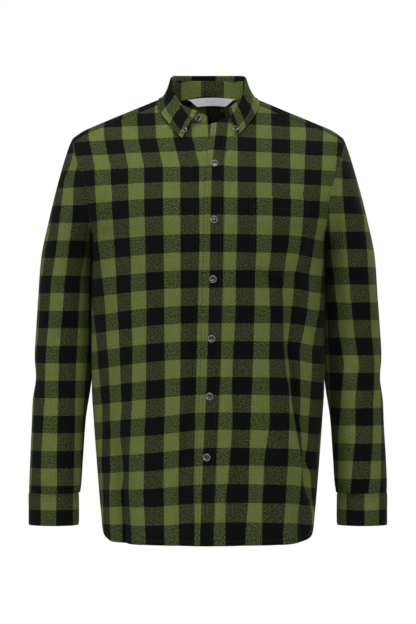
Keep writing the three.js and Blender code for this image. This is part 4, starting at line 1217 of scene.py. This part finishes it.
# Place along the collar, the check's column there, and how far its dark row lies from the free edge.
# Place grows from the wearer's left point round the back to the right point.
LEAF_CHECK = [
    (-9.6, 190, 27), (-9.0, 180, 27), (-8.4, 150, 27), (-7.2, 120, 28), (-5.7, 90, 31), (-2.9, 60, 50),
    (-1.3, 30, 54), (0.35, 0, 54), (1.9, -30, 54), (5.3, -60, 30), (6.5, -90, 26), (7.9, -120, 26),
    (9.0, -150, 26), (9.6, -165, 26),
]


def collar_leaf():
    p, n, s = leaf_grid()
    places, columns, rows = np.array(LEAF_CHECK).T
    steps = np.linalg.norm(np.diff(p[::-1], axis=0), axis=2)
    from_edge = np.concatenate([np.zeros((1, p.shape[1])), np.cumsum(steps, axis=0)])[::-1]
    u = np.interp(s, places, columns)[None, :] + 0 * from_edge
    v = from_edge - np.interp(s, places, rows)[None, :]
    return panel("collar_leaf", p, n, stack(u, v), DOUBLE)


# Ends of the stand: angle on the neck ring, top level and how far out the top leans
STAND_LEFT_END = [(6, -35, 5), (14, -27, 4.5), (23, -23, 3)]
STAND_RIGHT_END = [(-16, -25.5, 1), (-6, -27, 1), (1, -35, 1)]
STAND_SHIFT = 14


def stand_end(rows):
    """Foot and top points of one end of the stand."""
    feet = [neck_point(angle, SEAM) for angle, _, _ in rows]
    tops = [(foot[0], foot[1] - out, top) for foot, (_, top, out) in zip(feet, rows)]
    return feet, tops


def stand_grid():
    rows, _ = collar_stations(17)
    angles = np.degrees(np.arctan2(rows[:, 0] / NECK_HALF, -(rows[:, 1] - NECK_MIDDLE) / NECK_DEPTH))
    left_feet, left_tops = stand_end(STAND_LEFT_END)
    right_feet, right_tops = stand_end(STAND_RIGHT_END)
    folds = stack(rows[:, 0], rows[:, 1], rows[:, 2] - rows[:, 6] - SEAM)
    lines = []
    for points in ((left_feet, neck_point(angles, SEAM), right_feet), (left_tops, folds, right_tops)):
        points = np.concatenate(points)
        table = np.column_stack([np.arange(len(points)), points])
        fine = np.linspace(0, len(points) - 1, 170)
        lines.append(np.column_stack([through(table, c)(fine) for c in (1, 2, 3)]))
    foot, head = lines
    foot[:, 2] += STAND_FOOT
    p = lerp(foot[None], head[None], np.linspace(0, 1, 13)[:, None, None])
    return p, sheet_normals(p, False, -1)


def collar_stand():
    p, n = stand_grid()
    behind = p[..., 1] > 0
    u = np.where(behind, (p[..., 0] - 8) * 0.79, p[..., 0] - STAND_SHIFT)
    v = p[..., 2] - p[0, :, 2][None, :] + 15.6
    v = np.where(behind, v, v - 30 * (p[..., 0] > 0))
    return panel("collar_stand", p, n, stack(u, v), DOUBLE)


# Pocket and label

POCKET = dict(left=69, right=172, top_left=-167, top_right=-173, side=-288, point=-307, taper=3)


def pocket():
    v = np.linspace(0, 1, 49)[:, None]
    u = np.linspace(0, 1, 37)[None, :]
    foot = lerp(POCKET["side"], POCKET["point"], 1 - np.abs(2 * u - 1))
    z = lerp(lerp(POCKET["top_left"], POCKET["top_right"], u), foot, v)
    x = lerp(POCKET["left"] + 0 * v, POCKET["right"] - POCKET["taper"] * v, u)
    edge = np.minimum(np.minimum(u, 1 - u) * 100, (1 - v) * 120)
    puff = 0.9 * smooth(edge / 18) + 0.8 * smooth((0.14 - v) / 0.1) * smooth(edge / 8)
    p, n = body_point(-1, x, z, lap_lift(x, z) + LAYER + 1.2 + puff)
    across_u = columns_across(LEFT_COLUMNS, COLUMN_EDGES, x, z)
    return panel("pocket", p, n, stack(across_u, rows_of_front(x, z)), TRIM)


def neck_label():
    """A boat shaped label, narrow at its ends, that bows with the back of the neck."""
    middle, half, top, droop, height, inset, tilt = 6, 41, 9.3, 4.4, 13.4, 5.6, 3
    i = np.linspace(0, 1, 11)[:, None]
    part = np.linspace(-1, 1, 61)[None, :]
    x = middle + part * half
    depth = 1 + (height + 1.6 * part ** 2) * smooth((1 - np.abs(part)) / 0.46)
    z = top - droop * part ** 2 - i * depth
    y = NECK_MIDDLE + (NECK_DEPTH - inset) * np.sqrt(1 - (x / NECK_HALF) ** 2) - i * tilt * depth / height
    p = stack(x, y, z)
    n = sheet_normals(p)
    n = n * np.where(n[..., 1:2] < 0, -1, 1)
    return panel("neck_label", p, n, stack(x + 0 * i, z), LABEL_THICK, mat=LABEL)


# Buttons

BUTTON_RADIUS = 6.35
SMALL_BUTTON = 4.8
BUTTON_THICK = 2.6
BUTTON_SEAT = 0.45
BUTTON_LEVELS = [-115.5, -209, -308, -407.5, -504, -606]


def lathe(profile, segments):
    """Points and faces of a turned solid whose profile starts and ends on the axis."""
    points = [(0, 0, profile[0][1])]
    for r, h in profile[1:-1]:
        for k in range(segments):
            a = 2 * math.pi * k / segments
            points.append((r * math.cos(a), r * math.sin(a), h))
    points.append((0, 0, profile[-1][1]))
    faces = []
    rings = len(profile) - 2
    for k in range(segments):
        m = (k + 1) % segments
        faces.append((0, 1 + m, 1 + k))
        for r in range(rings - 1):
            a, b = 1 + r * segments, 1 + (r + 1) * segments
            faces.append((a + k, a + m, b + m, b + k))
        end = 1 + (rings - 1) * segments
        faces.append((end + k, end + m, len(points) - 1))
    return points, faces


def turned(name, profile, segments, place, turn, mat):
    points, faces = lathe(profile, segments)
    rotation = Vector((0, 0, 1)).rotation_difference(Vector(turn)).to_matrix()
    moved = [tuple(rotation @ Vector(q) + Vector(place)) for q in points]
    return dress(make_mesh(name, moved, faces), mat, None)


def button(name, radius, p, n):
    """A four hole button with a rounded rim, a sunk face, holes drawn as near black discs of painted shade,
    and thread.
    """
    n = unit(np.asarray(n, float))
    p = np.asarray(p, float) + n * BUTTON_SEAT
    thick = BUTTON_THICK
    profile = [(0, 0), (radius * 0.72, 0), (radius * 0.96, thick * 0.3), (radius, thick * 0.55),
               (radius * 0.97, thick * 0.85), (radius * 0.88, thick), (radius * 0.78, thick * 0.98),
               (radius * 0.68, thick * 0.76), (radius * 0.45, thick * 0.68), (0, thick * 0.66)]
    body = turned(f"{name}_face", profile, 40, p, n, BUTTON)
    body.data.materials.append(RIM)
    for polygon in body.data.polygons:
        middle = np.array(polygon.center) / MM - p
        away = np.linalg.norm(middle - n * (middle @ n))
        if away > radius * 0.8 and middle @ n > thick * 0.4:
            polygon.material_index = 1
    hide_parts(name)
    over = unit(np.cross(np.array([0, 0, 1.0]), n)) * radius * 0.24
    down = unit(np.cross(n, over)) * radius * 0.24
    face = p + n * thick * 0.66
    # The holes are thin near black discs on the face: painted shade in place of the shade inside real holes
    hole = radius * 0.13
    small = [(0, 0), (hole, 0), (hole, 0.12), (0, 0.14)]
    parts = []
    for a, b in ((-1, -1), (1, -1), (1, 1), (-1, 1)):
        middle = face + over * a + down * b
        parts.append(turned(f"{name}_hole_{len(parts)}", small, 14, middle, n, HOLE_SHADE))
    threads = []
    for a in (-1, 1):
        middle = face + over * a + n * 0.2
        threads.append((middle - down, middle + down, n))
    stitches(f"{name}_thread", threads, 0.42, 0.3, DARK_THREAD)
    join(body, parts)


def join(first, others):
    bpy.ops.object.select_all(action="DESELECT")
    for obj in [first] + others:
        obj.select_set(True)
    bpy.context.view_layer.objects.active = first
    bpy.ops.object.join()


# Stitches: each is a short raised loop of thread between two points

def stitches(name, pairs, width, rise, mat):
    if not pairs:
        return None
    profile = [(0.0, -0.15), (0.2, 0.75), (0.5, 1.0), (0.8, 0.75), (1.0, -0.15)]
    points, faces = [], []
    for begin, finish, n in pairs:
        along = np.asarray(finish, float) - begin
        over = unit(np.cross(n, unit(along)))
        base = len(points)
        for t, h in profile:
            middle = begin + along * t
            half = width / 2 * (0.55 if t in (0.0, 1.0) else 1.0)
            lift = np.asarray(n) * rise * h
            points.append(middle + over * half + lift * 0.35)
            points.append(middle + lift + np.asarray(n) * width * 0.3)
            points.append(middle - over * half + lift * 0.35)
        for k in range(len(profile) - 1):
            a, b = base + 3 * k, base + 3 * (k + 1)
            faces.append((a, a + 1, b + 1, b))
            faces.append((a + 1, a + 2, b + 2, b + 1))
            faces.append((a + 2, a, b, b + 2))
        faces.append((base, base + 2, base + 1))
        end = base + 3 * (len(profile) - 1)
        faces.append((end, end + 1, end + 2))
    obj = make_mesh(name, points, faces)
    return dress(obj, mat)


STITCH_PITCH = 3.4
STITCH_LENGTH = 2.5


def stitch_line(p, n):
    """Pairs of stitch ends along a polyline of points with outward directions."""
    steps = np.linalg.norm(np.diff(p, axis=0), axis=1)
    length = np.concatenate([[0], np.cumsum(steps)])
    pairs = []
    at = STITCH_PITCH / 2
    while at + STITCH_LENGTH < length[-1]:
        ends = []
        for s in (at, at + STITCH_LENGTH):
            ends.append(np.array([np.interp(s, length, p[:, c]) for c in range(3)]))
        middle = [np.interp(at + STITCH_LENGTH / 2, length, n[:, c]) for c in range(3)]
        pairs.append((ends[0], ends[1], unit(np.array(middle))))
        at += STITCH_PITCH
    return pairs


def inset_line(p, n, axis, index, distance):
    """A line parallel to one edge of a grid, a distance in from it along the surface."""
    grid = p if axis == 0 else np.swapaxes(p, 0, 1)
    normals = n if axis == 0 else np.swapaxes(n, 0, 1)
    if index < 0:
        grid, normals = grid[::-1], normals[::-1]
    steps = np.linalg.norm(np.diff(grid, axis=0), axis=2)
    arcs = np.concatenate([np.zeros((1, grid.shape[1])), np.cumsum(steps, axis=0)])
    line, out = [], []
    for j in range(grid.shape[1]):
        line.append([np.interp(distance, arcs[:, j], grid[:, j, c]) for c in range(3)])
        out.append([np.interp(distance, arcs[:, j], normals[:, j, c]) for c in range(3)])
    return np.array(line), unit(np.array(out))


def sew(name, pieces):
    pairs = []
    for p, n in pieces:
        pairs.extend(stitch_line(p, n))
    return stitches(name, pairs, 0.5, 0.28, THREAD)


# Build: each piece of cloth with its grid of points and its outward directions

made = {
    "front_left": front(1, "front_left", LEFT_ANGLE, 30, UNDER_PLACKET, lap_lift, LEFT_COLUMNS),
    "front_right": front(-1, "front_right", RIGHT_ANGLE, 40, 0, no_lift, RIGHT_COLUMNS),
    "placket": placket(), "back": back(), "yoke": yoke(),
}
SIDES = ((1, "left"), (-1, "right"))
for side, word in SIDES:
    made[f"sleeve_{word}"] = sleeve(side, f"sleeve_{word}")
    made[f"cuff_{word}"] = cuff(side, f"cuff_{word}")
    made[f"sleeve_placket_{word}"] = sleeve_placket(side, f"sleeve_placket_{word}")
made["collar_stand"] = collar_stand()
made["collar_leaf"] = collar_leaf()
made["pocket"] = pocket()
made["neck_label"] = neck_label()


def on_cloth(name, x, z):
    """The place on the front of a piece at x and z, and its outward direction."""
    _, p, n = made[name]
    away = np.hypot(p[..., 0] - x, p[..., 2] - z) + np.where(n[..., 1] > 0, 1000, 0)
    i, j = np.unravel_index(np.argmin(away), away.shape)
    q, m = p[i, j], n[i, j]
    return (x, q[1] - (m[0] * (x - q[0]) + m[2] * (z - q[2])) / m[1], z), m


for k, level in enumerate(BUTTON_LEVELS):
    level = np.array(float(level))
    p, n = body_point(-1, front_line(level), level, np.array(PLACKET_LIFT))
    button(f"button_front_{k + 1}", BUTTON_RADIUS, p, n)
button("button_stand", BUTTON_RADIUS * 0.9, *on_cloth("collar_stand", -16.5, -33))
button("button_collar_right", SMALL_BUTTON, *on_cloth("collar_leaf", -39, -56))
button("button_collar_left", SMALL_BUTTON, *on_cloth("collar_leaf", 46, -53))
for side, word in SIDES:
    p = cuff_point(side, 360 + CUFF_LAP / 2, (CUFF_HEM + CUFF_TOP) / 2, CUFF_LIFT)
    out = np.array([p[0] - side * CUFF_MIDDLE_X, p[1] - CUFF_MIDDLE_Y, 0])
    button(f"button_cuff_{word}", SMALL_BUTTON, p, out)


def edges(name, *places, first=0):
    """Lines along a piece's edges, each given as grid axis, index of the edge and distance in from it."""
    _, p, n = made[name]
    return [inset_line(p[first:], n[first:], *place) for place in places]


sew("stitches_placket", edges("placket", (1, 0, 5), (1, -1, 5)))
sew("stitches_leaf", edges("collar_leaf", (0, -1, 6)) + edges(
    "collar_leaf", (1, 0, 6), (1, -1, 6), first=LEAF_FREE))
sew("stitches_stand", edges("collar_stand", (0, 0, 2.5)))
sew("stitches_hem", edges("front_left", (0, 0, 8)) + edges("front_right", (0, 0, 8)) + edges(
    "back", (0, 0, 8)))
sew("stitches_yoke", edges("yoke", (0, -1, 2), (1, 0, 2), (1, -1, 2)))
sew("stitches_armholes", edges("front_left", (1, -1, 4.5), first=FINE_LOW) + edges(
    "front_right", (1, -1, 4.5), first=FINE_LOW) + edges("back", (1, 0, 4.5), (1, -1, 4.5), first=FINE_LOW))
sew("stitches_pocket", edges("pocket", (1, 0, 2), (1, -1, 2), (0, -1, 2), (1, 0, 7), (1, -1, 7), (0, -1, 7),
                             (0, 0, 22)))
for _, word in SIDES:
    sew(f"stitches_cuff_{word}", edges(f"cuff_{word}", (0, 0, 6), (0, -1, 6)))
    sew(f"stitches_vent_{word}", edges(f"sleeve_placket_{word}", (1, 0, 2), (1, -1, 2)))


# Table of the cloth pieces, which nothing here reads: piece, flat cut width and length in metres, area in
# square metres, how it is held, and the pieces it is sewn to

SHEETS = [
    ("yoke", 0.49, 0.2, 0.0633, "draped", []),
    ("front_left", 0.285, 0.81, 0.1841, "hung", ["yoke"]),
    ("front_right", 0.32, 0.81, 0.2113, "hung", ["yoke"]),
    ("back", 0.55, 0.7, 0.3461, "hung", ["yoke"]),
    ("placket", 0.033, 0.752, 0.0234, "hung", ["front_left"]),
    ("pocket", 0.122, 0.139, 0.0149, "hung", ["front_left"]),
    ("collar_stand", 0.443, 0.034, 0.009, "draped", ["yoke"]),
    ("collar_leaf", 0.514, 0.065, 0.0238, "folded", ["collar_stand"]),
    ("neck_label", 0.084, 0.016, 0.001, "hung", ["collar_stand"]),
]
for _, word in SIDES:
    SHEETS += [
        (f"sleeve_{word}", 0.515, 0.62, 0.1789, "hung", ["yoke"]),
        (f"cuff_{word}", 0.277, 0.056, 0.0154, "gathered", [f"sleeve_{word}"]),
        (f"sleeve_placket_{word}", 0.05, 0.142, 0.0033, "hung", [f"sleeve_{word}"]),
    ]


# Stage

def floor():
    mesh = bpy.data.meshes.new("floor")
    steps = 96
    ring = [(FLOOR_RADIUS * math.cos(2 * math.pi * k / steps) * MM,
             FLOOR_RADIUS * math.sin(2 * math.pi * k / steps) * MM, FLOOR_LEVEL * MM) for k in range(steps)]
    mesh.from_pydata(ring, [], [tuple(range(steps))])
    obj = bpy.data.objects.new("floor", mesh)
    bpy.context.scene.collection.objects.link(obj)
    mesh.materials.append(floor_paint())


def area_light(name, place, target, size, power):
    light = bpy.data.lights.new(name, "AREA")
    light.shape = "RECTANGLE"
    light.size, light.size_y = size
    light.energy = power
    obj = bpy.data.objects.new(name, light)
    obj.location = Vector(place)
    obj.rotation_euler = (Vector(target) - obj.location).to_track_quat("-Z", "Y").to_euler()
    bpy.context.scene.collection.objects.link(obj)


def lights():
    middle = (0, 0, -0.35)
    area_light("key_left", (-3.2, -2.1, 1.2), middle, (0.9, 0.9), 67)
    area_light("key_right", (2.5, -3.4, 0.8), middle, (1.2, 1.2), 50)
    area_light("front_low", (0.15, -4.2, 0.15), (0, 0.06, -0.05), (0.7, 0.7), 20)
    area_light("top", (0, -0.7, 2.6), middle, (1.2, 1.2), 48)
    area_light("back_fill", (1.9, 2.7, 1.1), middle, (1.3, 1.3), 46)
    world = bpy.data.worlds.new("studio")
    bpy.context.scene.world = world
    world.use_nodes = True
    nodes, links = world.node_tree.nodes, world.node_tree.links
    nodes.clear()
    path = nodes.new("ShaderNodeLightPath")
    soft = nodes.new("ShaderNodeBackground")
    soft.inputs["Strength"].default_value = 0.24
    white = nodes.new("ShaderNodeBackground")
    white.inputs["Color"].default_value = (1, 1, 1, 1)
    white.inputs["Strength"].default_value = 1.0
    mix = nodes.new("ShaderNodeMixShader")
    out = nodes.new("ShaderNodeOutputWorld")
    links.new(path.outputs["Is Camera Ray"], mix.inputs[0])
    links.new(soft.outputs[0], mix.inputs[1])
    links.new(white.outputs[0], mix.inputs[2])
    links.new(mix.outputs[0], out.inputs[0])


def camera():
    data = bpy.data.cameras.new("photo_camera")
    data.sensor_fit = "HORIZONTAL"
    data.sensor_width = SENSOR
    data.lens = SENSOR * CAMERA_DISTANCE / MM_PER_PIXEL / IMAGE_WIDTH
    data.clip_end = 50
    obj = bpy.data.objects.new("photo_camera", data)
    obj.location = (0, -CAMERA_DISTANCE * MM, CAMERA_LEVEL * MM)
    obj.rotation_euler = (math.pi / 2, 0, 0)
    bpy.context.scene.collection.objects.link(obj)
    bpy.context.scene.camera = obj


floor()
lights()
camera()
bpy.context.scene.view_settings.view_transform = "Standard"
